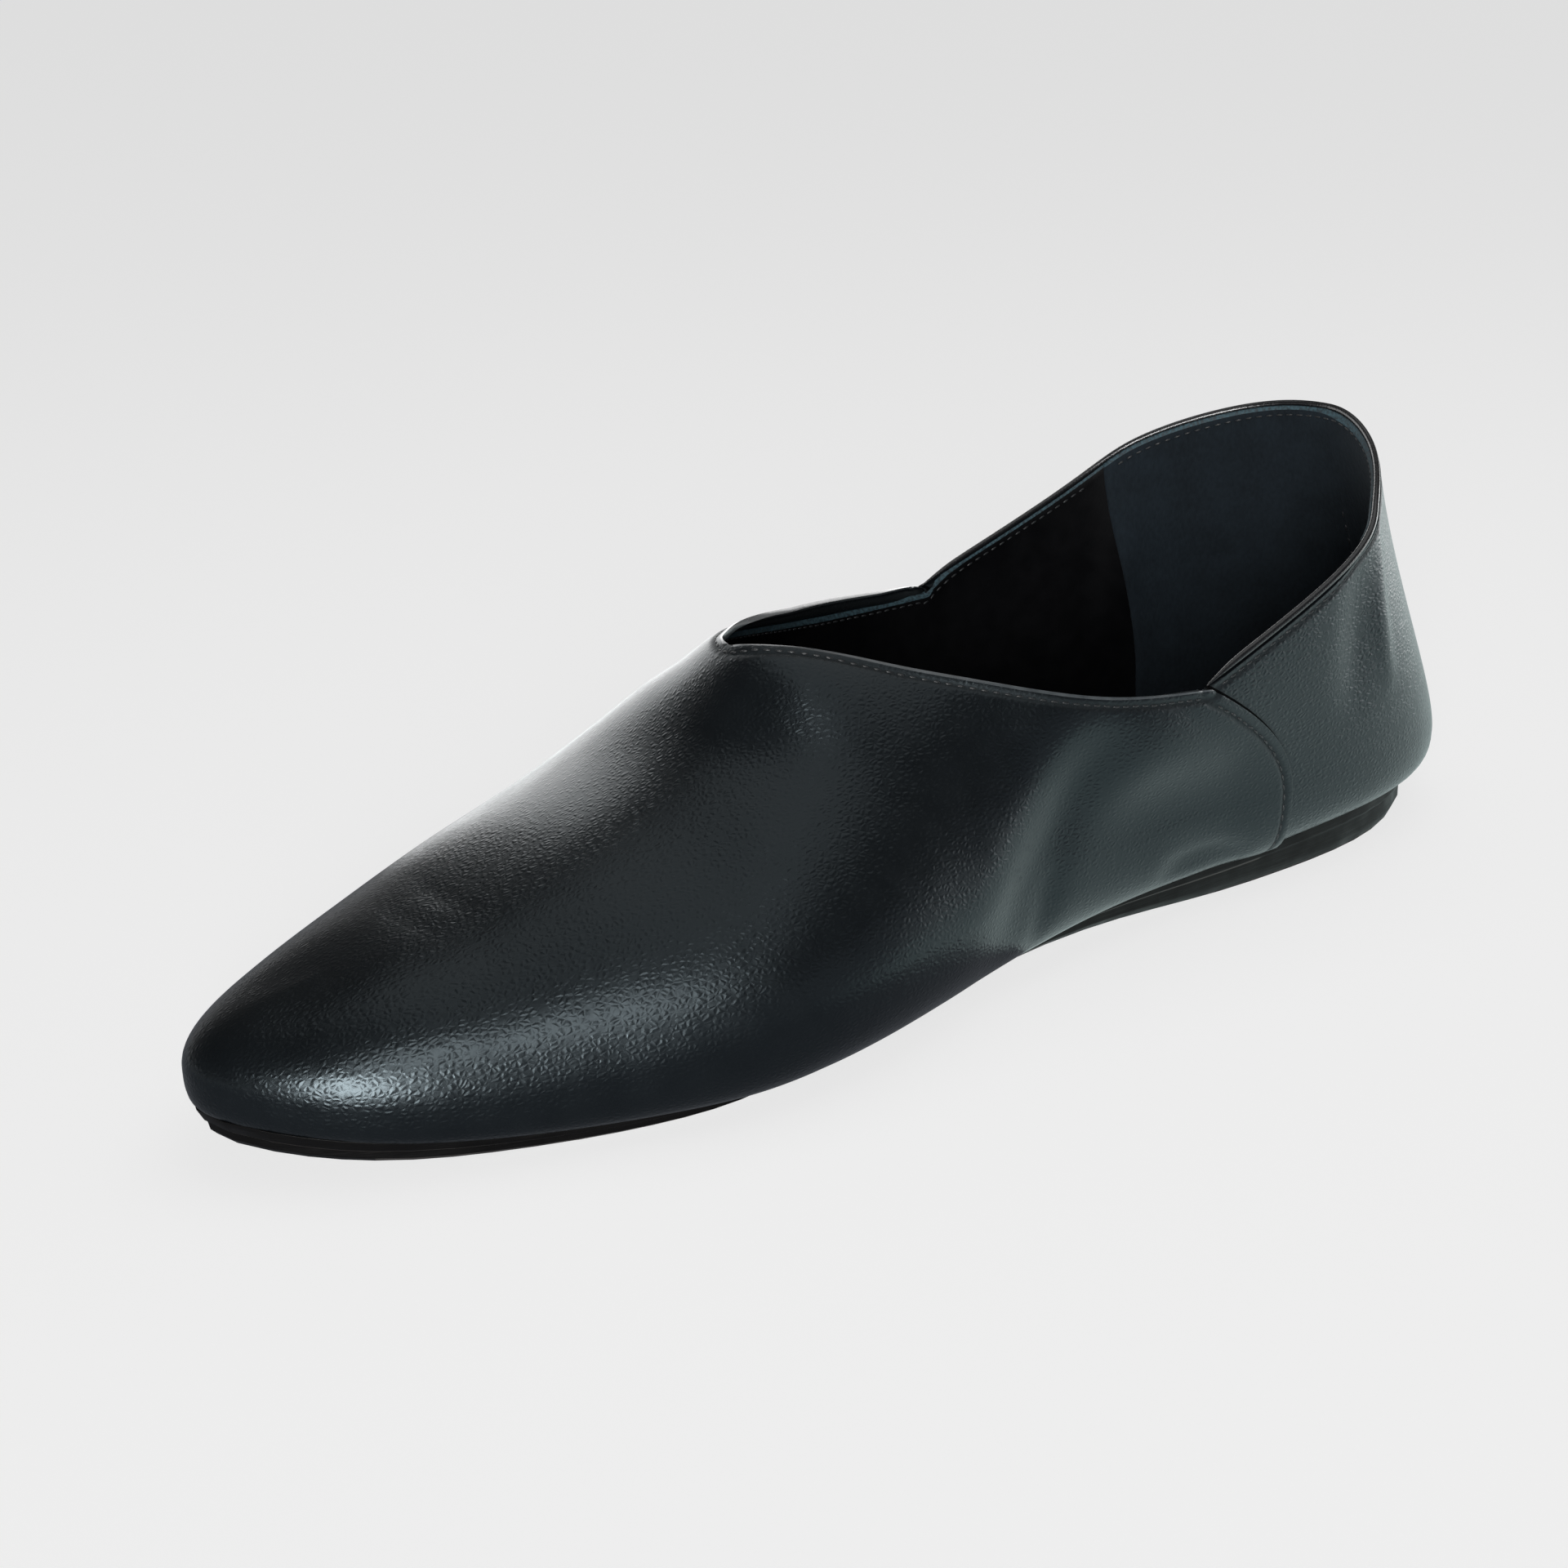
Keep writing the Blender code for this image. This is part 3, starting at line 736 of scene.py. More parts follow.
@dataclass(frozen=True)
class SeamShade:
    """Leather deep in a seam that no light reaches."""

    name: str = "seam_shade"
    colour: Colour = (0.0006, 0.0007, 0.0009)

    def make(self) -> Material:
        """Build the material."""
        sheet = NodeSheet(self.name)
        sheet.set(Base_Color=(*self.colour, 1.0), Roughness=0.8, Specular_IOR_Level=0.05)
        return sheet.material


@dataclass(frozen=True)
class StackedSole:
    """Sole edge, dark brown black with fine lines along it."""

    name: str = "sole_leather"
    dark: Colour = (0.0011, 0.0010, 0.0010)
    light: Colour = (0.0036, 0.0032, 0.0031)

    def make(self) -> Material:
        """Build the material."""
        sheet = NodeSheet(self.name)
        lines = sheet.noise(sheet.stretched((0.05, 0.05, 1.0)), 1500.0, 4.0)
        wear = sheet.noise(sheet.place, 190.0, 4.0)
        sheet.paint("Base Color", sheet.blended(lines, self.dark, self.light))
        sheet.paint("Roughness", sheet.rough(wear, 0.42, 0.62))
        rough = sheet.bumped(wear, 0.2, 0.0004)
        sheet.paint("Normal", sheet.bumped(lines, 0.55, 0.00022, rough))
        sheet.set(Specular_IOR_Level=0.14)
        return sheet.material


@dataclass(frozen=True)
class PaleFloor:
    """Matt white studio floor."""

    name: str = "studio_floor"
    colour: Colour = (0.30, 0.30, 0.30)
    glow: float = 0.70

    def make(self) -> Material:
        """Build the material."""
        sheet = NodeSheet(self.name)
        sheet.set(Base_Color=(*self.colour, 1.0), Roughness=0.8, Specular_IOR_Level=0.0)
        sheet.set(Emission_Color=(1.0, 1.0, 1.0, 1.0), Emission_Strength=self.glow)
        return sheet.material


@dataclass(frozen=True)
class StudioCard:
    """Card of the studio that glows with an even colour, though it is no lamp: a painted reflection."""

    name: str
    glow: Colour

    def make(self) -> Material:
        """Build the material."""
        sheet = NodeSheet(self.name)
        sheet.set(Base_Color=(0.0, 0.0, 0.0, 1.0), Roughness=0.9, Specular_IOR_Level=0.0)
        sheet.set(Emission_Color=(*self.glow, 1.0), Emission_Strength=1.0)
        return sheet.material


def new_object(name: str, work: Work, finishes: Sequence[Material]) -> Piece:
    """Turn a finished bmesh into an object of the scene; the bmesh is freed."""
    mesh = bpy.data.meshes.new(name)
    work.to_mesh(mesh)
    work.free()
    for finish in finishes:
        mesh.materials.append(finish)
    made = bpy.data.objects.new(name, mesh)
    bpy.context.scene.collection.objects.link(made)
    return made


def new_piece(name: str, work: Work, nodes: Sequence[str],
              finishes: Sequence[Material]) -> Piece:
    """Turn a finished bmesh into a piece that rides on the shoe.

    Args:
        name: Name of the piece.
        work: Its mesh; it is freed here.
        nodes: CAD nodes that the piece stands for.
        finishes: Its materials.

    Returns:
        The piece.
    """
    piece = new_object(name, work, finishes)
    piece.data.shade_smooth()
    if nodes:
        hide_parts(*nodes)
    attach(piece, BODY)
    log.info("%s: %d faces", name, len(piece.data.polygons))
    return piece


def sheet_mesh(points: np.ndarray, turned: bool, painted_seam_shade: np.ndarray | None = None,
               marks: np.ndarray | None = None) -> Work:
    """A sheet of leather laid on rows of points.

    Args:
        points: Metres, a row per rib.
        turned: Whether its faces are turned over.
        painted_seam_shade: Share of painted shade at each point, from 0 to 1, kept on the mesh as a
            vertex attribute.
        marks: Number of the material of each face, a row per gap between ribs.

    Returns:
        The sheet, closed where rows share their points.
    """
    rows, columns = points.shape[:2]
    work = bmesh.new()
    bmesh.ops.create_grid(work, x_segments=rows - 1, y_segments=columns - 1, size=1.0)
    low = min(vertex.co.x for vertex in work.verts)
    high = max(vertex.co.x for vertex in work.verts)
    # Share of painted shade, kept as a vertex attribute for the leather's material.
    pull = work.verts.layers.float.new("painted_seam_shade")
    cells = {}
    for vertex in work.verts:
        row = round((vertex.co.x - low) / (high - low) * (rows - 1))
        column = round((vertex.co.y - low) / (high - low) * (columns - 1))
        cells[vertex] = (row, column)
        vertex.co = points[row, column]
        vertex[pull] = 0.0 if painted_seam_shade is None else float(painted_seam_shade[row, column])
    if marks is not None:
        for face in work.faces:
            face.material_index = int(marks[min(cells[vertex] for vertex in face.verts)])
    bmesh.ops.remove_doubles(work, verts=work.verts[:], dist=1e-7)
    if turned:
        bmesh.ops.reverse_faces(work, faces=work.faces[:])
    return work


def give_wall(piece: Piece, thick: float, rim: int = 0) -> None:
    """Give a sheet its thickness on the far side of its faces, in millimetres."""
    wall = piece.modifiers.new("wall", "SOLIDIFY")
    wall.thickness = thick * MILLIMETRE
    wall.offset = -1.0
    wall.material_offset_rim = rim


def round_edges(piece: Piece, width: float, angle: float) -> None:
    """Round the sharp edges of a piece, in millimetres and degrees."""
    bevel = piece.modifiers.new("round", "BEVEL")
    bevel.width = width * MILLIMETRE
    bevel.segments = 3
    bevel.limit_method = "ANGLE"
    bevel.angle_limit = math.radians(angle)


def directions(points: np.ndarray) -> np.ndarray:
    """Outward directions at rows of points on the last."""
    along = np.gradient(points, axis=0)
    upward = np.gradient(points, axis=1)
    normal = np.cross(upward, along)
    return normal / np.maximum(np.linalg.norm(normal, axis=2), TINY)[:, :, None]


def edge_gap(points: np.ndarray, edge: np.ndarray) -> np.ndarray:
    """Distance of points to an edge line given by its points."""
    flat = points.reshape(-1, 3)
    gap = np.full(len(flat), np.inf)
    for start, end in zip(edge, edge[1:]):
        run = end - start
        share = np.clip((flat - start) @ run / max(run @ run, TINY), 0, 1)
        gap = np.minimum(gap, np.linalg.norm(flat - start - share[:, None] * run, axis=1))
    return gap.reshape(points.shape[:-1])


def edge_marks(points: np.ndarray, edged: np.ndarray, cells: int) -> np.ndarray:
    """Material numbers of a sheet's faces.

    Args:
        points: Points of the sheet, with a row per rib.
        edged: Which ribs have an edge of their own material.
        cells: How many faces of a rib that edge takes.

    Returns:
        1 on the edge and 0 elsewhere.
    """
    marks = np.zeros((len(points) - 1, points.shape[1] - 1), int)
    marks[edged[:-1] & edged[1:], -cells:] = 1
    return marks


@dataclass
class Skin:
    """What the vamp, quarter and linings share: the last, its creases and the seam sizes."""

    last: Last
    creases: Creases
    fold_level: float = 1.982
    stitch_drop: float = 1.6
    collar_drop: float = 1.15
    stitch_dip: float = 0.28
    stitch_width: float = 0.5
    # groove: width of the painted shade along a stitch line, in millimetres.
    groove: float = 0.6
    step: float = 1.5
    seam_zone: float = 3.6
    seam_step: float = 0.4
    rim_level: float = 1.86
    seam_gap: float = 0.05
    margin_cells: int = 3

    def ring(self, start: float, end: float, step: float, seams: Sequence[float] = ()) -> np.ndarray:
        """Even places round the shoe, closer together near the seams."""
        places = np.linspace(start, end, int(round((end - start) / step)) + 1)
        zone = np.arange(-self.seam_zone, self.seam_zone + 0.01, self.seam_step)
        for seam in seams:
            far = np.abs(places - seam) > self.seam_zone
            places = np.sort(np.concatenate([places[far], seam + zone]))
        return places[(places > start - 1e-6) & (places < end + 1e-6)]

    def levels(self, low: int, high: int, fine: int) -> np.ndarray:
        """Heights on a rib, closer together near the top edge."""
        under = np.array([-1.0, -0.5])
        tuck = np.linspace(0, 1, low, endpoint=False)
        side = np.linspace(1, self.rim_level, high, endpoint=False)
        rim = np.linspace(self.rim_level, self.fold_level, fine - 1)
        return np.concatenate([under, tuck, side, rim, [2.0]])

    def laid(self, base: np.ndarray, normal: np.ndarray, lift: np.ndarray) -> np.ndarray:
        """Points moved outwards by a lift and by the creases."""
        return base + normal * (lift + self.creases.lift(base))[..., None]

    def leather(self, name: str, work: Work, finishes: Sequence[Material], thick: float,
                rim: int = 0) -> Piece:
        """Turn a sheet into one of the pieces that stand for the upper.

        Args:
            name: Name of the piece.
            work: The sheet.
            finishes: Its materials.
            thick: Its thickness.
            rim: How far its rim is moved on in the materials.

        Returns:
            The piece.
        """
        piece = new_piece(name, work, ["upper"], finishes)
        give_wall(piece, thick, rim)
        return piece

    def dip(self, off: np.ndarray) -> np.ndarray:
        """Depth of a stitch groove at a distance from its middle."""
        return self.stitch_dip * np.exp(-(off / self.stitch_width) ** 2)

    def pull(self, off: np.ndarray) -> np.ndarray:
        """Share of painted shade at that distance from a stitch line, from 0 to 1."""
        return np.exp(-(off / self.groove) ** 2)

    def join_ridge(self, base: np.ndarray, normal: np.ndarray, ridge: np.ndarray) -> None:
        """Let the two sides of the form meet in one line along the ridge.

        Args:
            base: Points with a row per rib; changed here.
            normal: Their outward directions; changed here.
            ridge: Which ribs end on the ridge.
        """
        if not ridge.any():
            return
        joined = normal[:, -1] + normal[::-1, -1]
        joined /= np.linalg.norm(joined, axis=1)[:, None]
        normal[:, -1] = np.where(ridge[:, None], joined, normal[:, -1])
        base[ridge, -1] = (base[ridge, -1] + base[::-1][ridge, -1]) / 2


@dataclass
class Vamp:
    """Front of the upper, one piece from the toe to the rounded rear edges."""

    skin: Skin
    wall: float = 1.0
    rows: tuple[int, int, int] = (9, 46, 14)
    edge_round: float = 0.44
    edge_angle: float = 50.0
    seam_inset: float = 2.0
    stitch_from: int = 4
    ease_width: float = 13.0
    ease_level: float = 0.15
    ease_rounds: int = 40
    points: np.ndarray | None = field(default=None, repr=False)
    places: np.ndarray | None = field(default=None, repr=False)
    painted_seam_shade: np.ndarray | None = field(default=None, repr=False)

    def lay(self) -> None:
        """Lay the leather on the last, with its seam step, creases and stitch grooves."""
        last = self.skin.last
        seams = (last.seam, 2 * last.end - last.seam)
        self.places = self.skin.ring(*seams, self.skin.step, seams)
        level = self.skin.levels(*self.rows)
        base = last.surface(self.places, level)
        place = last.from_heel(self.places)
        near = np.exp(-((place - last.throat) / self.ease_width) ** 2)[:, None]
        ease = near * np.clip((2 - level) / self.ease_level, 0, 1)
        for _ in range(self.ease_rounds):
            base[1:-1] += 0.5 * ease[1:-1, :, None] * ((base[:-2] + base[2:]) / 2 - base[1:-1])
        normal = directions(base)
        ridge = place >= last.throat
        self.skin.join_ridge(base, normal, ridge)
        lift = last.raised(self.places)[:, None] * np.ones(base.shape[1])
        lift[:, :self.skin.margin_cells] = 0
        throat = base[~ridge, -1]
        half = len(throat) // 2
        # Painted shade along the throat and seam stitch lines.
        self.painted_seam_shade = np.zeros(lift.shape)
        drops = (self.skin.stitch_drop, self.skin.stitch_drop, self.seam_inset, self.seam_inset)
        for edge, drop in zip((throat[:half], throat[half:], base[0], base[-1]), drops):
            off = edge_gap(base, edge) - drop
            lift -= self.skin.dip(off)
            self.painted_seam_shade = np.maximum(self.painted_seam_shade, self.skin.pull(off))
        self.points = self.skin.laid(base, normal, lift)

    def open_ribs(self) -> np.ndarray:
        """Which ribs end on the throat's edge."""
        return self.skin.last.from_heel(self.places) < self.skin.last.throat

    def throat_edge(self) -> np.ndarray:
        """Top edge of the throat from the inner notch to the outer one."""
        return self.points[self.open_ribs(), -1]

    def seam_edge(self, row: int) -> np.ndarray:
        """Rear edge of one side, above the lasting margin."""
        return self.points[row, self.stitch_from:]

    def build(self, finishes: Sequence[Material]) -> Piece:
        """Make the piece of leather and its folded edge, whose rim carries the painted highlight."""
        self.lay()
        marks = edge_marks(self.points, self.open_ribs(), 1)
        work = sheet_mesh(self.skin.last.to_frame(self.points), True, self.painted_seam_shade, marks)
        piece = self.skin.leather("vamp", work, finishes, self.wall, 1)
        round_edges(piece, self.edge_round, self.edge_angle)
        return piece


@dataclass
class Quarter:
    """Rear of the upper, one piece round the heel that runs under the vamp."""

    skin: Skin
    wall: float = 1.0
    rows: tuple[int, int, int] = (9, 40, 14)
    edge_round: float = 0.3
    edge_angle: float = 50.0
    under: float = 7.0
    under_run: float = 2.0
    under_drop: float = 0.12
    shade: float = 0.75
    points: np.ndarray | None = field(default=None, repr=False)
    places: np.ndarray | None = field(default=None, repr=False)
    painted_seam_shade: np.ndarray | None = field(default=None, repr=False)
    seam_rows: tuple[int, int] = (0, 0)
    seam_cells: int = 1

    def lay(self) -> None:
        """Lay the leather on the last, lower where it runs under the vamp."""
        last = self.skin.last
        reach = last.seam + self.under
        self.places = self.skin.ring(-reach, reach, self.skin.step, (-last.seam, last.seam))
        near = np.argmin(np.abs(self.places - last.seam))
        self.places[near] = last.seam - self.skin.seam_gap
        self.places[len(self.places) - 1 - near] = self.skin.seam_gap - last.seam
        self.seam_rows = (len(self.places) - 1 - near, near)
        level = self.skin.levels(*self.rows)
        level = np.broadcast_to(level, (len(self.places), len(level))).copy()
        ahead = soft_step((np.abs(self.places) - last.seam) / self.under_run)[:, None]
        level = np.where(level > 1, 1 + (level - 1) * (1 - self.under_drop * ahead), level)
        base = last.surface(self.places, level)
        normal = directions(base)
        collar = base[np.abs(self.places) < last.seam, -1]
        off = edge_gap(base, collar) - self.skin.collar_drop
        behind = 1 - ahead
        lift = -self.skin.dip(off) * behind
        # Painted shade along the collar's stitch line, and painted shadow just behind the vamp's rear
        # edge at each seam row.
        self.painted_seam_shade = self.skin.pull(off) * behind
        for row in self.seam_rows:
            dark = np.exp(-(edge_gap(base, base[row]) / self.shade) ** 2)
            self.painted_seam_shade = np.maximum(self.painted_seam_shade, dark)
        self.points = self.skin.laid(base, normal, lift)

    def collar_edge(self) -> np.ndarray:
        """Top edge of the quarter from the outer notch round the heel to the inner one."""
        return self.points[np.abs(self.places) < self.skin.last.seam, -1]

    def build(self, finishes: Sequence[Material]) -> Piece:
        """Make the piece of leather."""
        self.lay()
        marks = np.zeros((len(self.points) - 1, self.points.shape[1] - 1), int)
        outer, inner = self.seam_rows
        marks[outer:outer + self.seam_cells, self.skin.margin_cells:] = 2
        marks[inner - self.seam_cells:inner, self.skin.margin_cells:] = 2
        work = sheet_mesh(self.skin.last.to_frame(self.points), True, self.painted_seam_shade, marks)
        piece = self.skin.leather("quarter", work, finishes, self.wall)
        round_edges(piece, self.edge_round, self.edge_angle)
        return piece


@dataclass
class Lining:
    """Lining of the shoe: a smooth front part and a napped heel part that laps over it."""

    skin: Skin
    depth: float = 1.5
    thick: float = 0.25
    heel_depth: float = 1.85
    heel_thick: float = 0.3
    throat_drop: float = 3.0
    collar_drop: float = -0.7
    heel_reach: float = 55.0
    lap: float = 8.0
    lap_drop: float = 5.0
    bevel_wide: float = 1.5
    bevel_deep: float = 0.7
    collar_bevel: float = 0.7
    collar_deep: float = 0.4
    back_bevel: float = 1.5
    back_deep: float = 0.8
    back_reach: float = 40.0
    back_seam: float = 0.35
    back_seam_width: float = 1.0
    back_seam_top: float = 17.0
    low_rows: int = 34
    low_end: float = 5.0
    near_rows: tuple[float, ...] = (3.6, 2.6, 1.9)
    bevel_cells: int = 3
    rim: float = 0.1
    seam_run: float = 8.0
    throat_run: float = 14.0
    lap_run: float = 3.0
    back_start: float = -4.0
    back_rise: float = 10.0
    back_fall: float = 12.0
    back_seam_run: float = 6.0
    front_start: float = 0.3
    heel_start: float = 0.48
    step: float = 2.0
    stitch_drop: float = 2.0
    edges: dict[str, np.ndarray] = field(default_factory=dict, repr=False)

    def lay(self, places: np.ndarray, start: float, depth: float, lapped: bool) -> np.ndarray:
        """Rows of points of a lining, from a height near the sole up to its cut edge.

        Args:
            places: Places round the shoe.
            start: Height at which the lining starts.
            depth: How far it lies inside the outer form.
            lapped: Whether its ends go down under the heel lining.

        Returns:
            Points with a row per rib.
        """
        last = self.skin.last
        place = last.from_heel(places)
        ahead = soft_step((place - last.seam + self.seam_run / 2) / self.seam_run)
        drop = self.collar_drop + (self.throat_drop - self.collar_drop) * ahead
        drop = drop * soft_step((last.throat - place) / self.throat_run)
        if lapped:
            drop = drop + self.lap_drop * soft_step((self.heel_reach - 1 - place) / self.lap_run)
        rib = last.surface(places, np.array([2.0 - self.rim, 2.0]))
        slope = (np.linalg.norm(rib[:, 1] - rib[:, 0], axis=1) / self.rim)[:, None]
        back = soft_step((places - self.back_start) / self.back_rise)
        back = back * soft_step((self.back_reach - places) / self.back_fall)
        wide = self.collar_bevel + (self.bevel_wide - self.collar_bevel) * ahead
        wide = (wide + (self.back_bevel - wide) * back)[:, None]
        deep = self.collar_deep + (self.bevel_deep - self.collar_deep) * ahead
        deep = (deep + (self.back_deep - deep) * back)[:, None]
        top = 2 - drop[:, None] / slope
        low = start + (top - self.low_end / slope - start) * np.linspace(0, 1, self.low_rows)
        near = top - np.array(self.near_rows) / slope
        cut = top - wide * np.linspace(1, 0, self.bevel_cells + 1) / slope
        level = np.concatenate([low, near, cut], axis=1)
        base = last.surface(places, np.minimum(level, 2))
        over = np.clip(level - 2, 0, None)[..., None]
        base = base + over * (rib[:, 1] - rib[:, 0])[:, None] / self.rim
        normal = directions(base)
        ridge = place >= last.throat
        self.skin.join_ridge(base, normal, ridge)
        below = (top - level) * slope
        lift = deep * np.clip(1 - below / wide, 0, 1) - depth
        if not lapped:
            seam = np.exp(-(places / self.back_seam_width) ** 2)[:, None]
            deeper = soft_step((below - self.back_seam_top) / self.back_seam_run)
            lift = lift + self.back_seam * seam * deeper
        return self.skin.laid(base, normal, lift)

    def build_front(self, finishes: Sequence[Material]) -> Piece:
        """Make the smooth front lining."""
        last = self.skin.last
        start = self.heel_reach - self.lap
        places = self.skin.ring(start, 2 * last.end - start, self.step)
        points = self.lay(places, self.front_start, self.depth, True)
        place = last.from_heel(places)
        self.edges["front"] = points[(place > self.heel_reach) & (place < last.throat), -1]
        marks = edge_marks(points, place < last.throat, self.bevel_cells)
        work = sheet_mesh(last.to_frame(points), False, marks=marks)
        return self.skin.leather("front_lining", work, finishes, self.thick)

    def build_heel(self, finishes: Sequence[Material]) -> Piece:
        """Make the napped heel lining."""
        last = self.skin.last
        places = self.skin.ring(-self.heel_reach, self.heel_reach, self.step, (0.0,))
        points = self.lay(places, self.heel_start, self.heel_depth, False)
        self.edges["heel"] = points[:, -1]
        back = points[np.argmin(np.abs(places))]
        fall = np.linalg.norm(back - back[-1], axis=1)
        self.edges["back"] = back[fall > self.back_seam_top][::-1]
        marks = edge_marks(points, np.ones(len(places), bool), self.bevel_cells)
        work = sheet_mesh(last.to_frame(points), False, marks=marks)
        return self.skin.leather("heel_lining", work, finishes, self.heel_thick)


@dataclass
class Binding:
    """Rolled leather edge of the collar, from notch to notch round the heel."""

    skin: Skin
    width: float = 1.3
    height: float = 1.4
    inset: float = 0.72
    sides: int = 16
    gap: float = 0.1
    square: float = 0.95
    rim_level: float = 1.97
    end_size: float = 0.3
    end_growth: float = 0.25

    def build(self, collar: np.ndarray, leather: Material) -> Piece:
        """Make the piece along the quarter's top edge."""
        reach = self.skin.last.seam - self.skin.seam_gap
        places = np.linspace(-reach, reach, len(collar))
        base = self.skin.last.surface(places, np.array([self.rim_level, 2.0]))
        out = directions(base)[:, -1]
        rim = base[:, -1] - out * self.inset
        along = np.gradient(rim, axis=0)
        along /= np.linalg.norm(along, axis=1)[:, None]
        up = np.cross(along, out)
        up *= (np.sign(up[:, 2]) / np.linalg.norm(up, axis=1))[:, None]
        turn = np.linspace(0, 2 * math.pi, self.sides + 1)
        turn[-1] = 0.0
        wide = np.sign(np.cos(turn)) * np.abs(np.cos(turn)) ** self.square * self.width / 2
        tall = np.sign(np.sin(turn)) * np.abs(np.sin(turn)) ** self.square * self.height / 2
        tall += self.gap + self.height / 2
        end = np.minimum(np.arange(len(rim)), np.arange(len(rim))[::-1])
        size = soft_step(self.end_size + end * self.end_growth)[:, None]
        shift = out[:, None] * (wide * size)[..., None] + up[:, None] * (tall * size)[..., None]
        points = rim[:, None] + shift
        work = sheet_mesh(self.skin.last.to_frame(points), False)
        borders = [edge for edge in work.edges if edge.is_boundary]
        bmesh.ops.holes_fill(work, edges=borders, sides=0)
        bmesh.ops.recalc_face_normals(work, faces=work.faces[:])
        piece = new_piece("rolled_binding", work, ["collar_binding"], [leather])
        smooth = piece.modifiers.new("smooth", "SUBSURF")
        smooth.levels = 1
        smooth.render_levels = 1
        return piece


@dataclass
class StitchLine:
    """A row of lockstitches beside an edge, lying on a sheet of leather."""

    name: str
    drop: float
    slot: str = "upper_leather"
    pitch: float = 2.0
    length: float = 1.5
    width: float = 0.46
    height: float = 0.4
    sunk: float = 0.02
    trim: float = 2.0
    probe: float = 0.2

    def build(self, edge: np.ndarray, sheet: Piece, hint: Vector,
              thread: Material) -> Piece:
        """Make the row.

        Args:
            edge: Points of the edge in metres.
            sheet: The sheet that carries the stitches.
            hint: Roughly the way from the edge into the sheet, for the first point.
            thread: The thread's material.

        Returns:
            The piece.
        """
        tree = self.tree_of(sheet)
        path = self.beside(edge, tree, hint)
        length = np.concatenate([[0], np.cumsum(np.linalg.norm(np.diff(path, axis=0), axis=1))])
        pitch = self.pitch * MILLIMETRE
        count = int((length[-1] - 2 * self.trim * MILLIMETRE) / pitch)
        work = bmesh.new()
        for number in range(count):
            at = self.trim * MILLIMETRE + (number + 0.5) * pitch
            here = self.along(path, length, at)
            near = self.probe * pitch
            ahead = self.along(path, length, at + near) - self.along(path, length, at - near)
            place, normal = tree.find_nearest(here)[:2]
            self.add_stitch(work, place, normal, ahead)
        return new_piece(self.name, work, [], [thread])

    def tree_of(self, sheet: Piece) -> BVHTree:
        """Search tree of a sheet's own faces."""
        corners = [vertex.co.copy() for vertex in sheet.data.vertices]
        faces = [tuple(face.vertices) for face in sheet.data.polygons]
        return BVHTree.FromPolygons(corners, faces)

    def beside(self, edge: np.ndarray, tree: BVHTree, hint: Vector) -> np.ndarray:
        """Points on the sheet, at the drop from the edge."""
        along = np.gradient(edge, axis=0)
        side = None
        found = []
        for point, run in zip(edge, along):
            normal = tree.find_nearest(Vector(point))[1]
            inward = normal.cross(Vector(run)).normalized()
            guide = hint if side is None else side
            if inward.dot(guide) < 0:
                inward.negate()
            side = inward
            found.append(tree.find_nearest(Vector(point) + inward * self.drop * MILLIMETRE)[0])
        return np.array(found)

    def along(self, path: np.ndarray, length: np.ndarray, at: float) -> Vector:
        """Point of a path at a length."""
        return Vector([np.interp(at, length, path[:, axis]) for axis in range(3)])

    def add_stitch(self, work: Work, place: Vector, normal: Vector, ahead: Vector) -> None:
        """Add one stitch as a small rounded grain of thread."""
        run = (ahead - normal * ahead.dot(normal)).normalized()
        across = normal.cross(run)
        turn = Matrix((run, across, normal)).transposed().to_4x4()
        size = Matrix.Diagonal((self.length, self.width, self.height, 1000.0)) * MILLIMETRE
        place = place - normal * self.sunk * MILLIMETRE
        bmesh.ops.create_uvsphere(work, u_segments=6, v_segments=5, radius=0.5,
                                  matrix=Matrix.Translation(place) @ turn @ size)


def node_copy(name: str) -> Work:
    """Mesh of a CAD node with its triangles joined up."""
    work = bmesh.new()
    work.from_mesh(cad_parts[name].data)
    bmesh.ops.remove_doubles(work, verts=work.verts[:], dist=1e-6)
    bmesh.ops.join_triangles(work, faces=work.faces[:], angle_face_threshold=0.35,
                             angle_shape_threshold=0.9)
    return work


@dataclass
class Insole:
    """Insole, black leather that lies inside the upper."""

    round_width: float = 0.6
    round_angle: float = 40.0

    def build(self, leather: Material) -> Piece:
        """Make the piece."""
        piece = new_piece("insole_cover", node_copy("insole"), ["insole"], [leather])
        round_edges(piece, self.round_width, self.round_angle)
        return piece


@dataclass
class Outsole:
    """Outsole with its lined edge and scuffed underside."""

    round_width: float = 0.3
    round_angle: float = 35.0
    under: float = -0.75
    toe_from: float = 0.084
    toe_run: float = 0.045
    toe_low: float = 1.5
    toe_high: float = 2.6
    toe_lift: float = 1.0
    side_share: float = 0.3

    def flare_toe(self, work: Work) -> None:
        """Bring the upper part of the sole's edge out to the leather round the toe."""
        for vertex in work.verts:
            share = float(soft_step((vertex.co.x - self.toe_from) / self.toe_run))
            way = Vector((vertex.normal.x, vertex.normal.y, 0.0))
            if share == 0.0 or way.length < self.side_share:
                continue
            upper = vertex.normal.z > -self.side_share
            reach = self.toe_high if upper else self.toe_low
            vertex.co += way.normalized() * share * reach * MILLIMETRE
            if upper:
                vertex.co.z += share * self.toe_lift * MILLIMETRE

    def build(self, edge: Material, ground: Material) -> Piece:
        """Make the piece."""
        work = node_copy("outsole")
        work.normal_update()
        self.flare_toe(work)
        for face in work.faces:
            face.material_index = 1 if face.normal.z < self.under else 0
        piece = new_piece("sole", work, ["outsole"], [edge, ground])
        round_edges(piece, self.round_width, self.round_angle)
        return piece


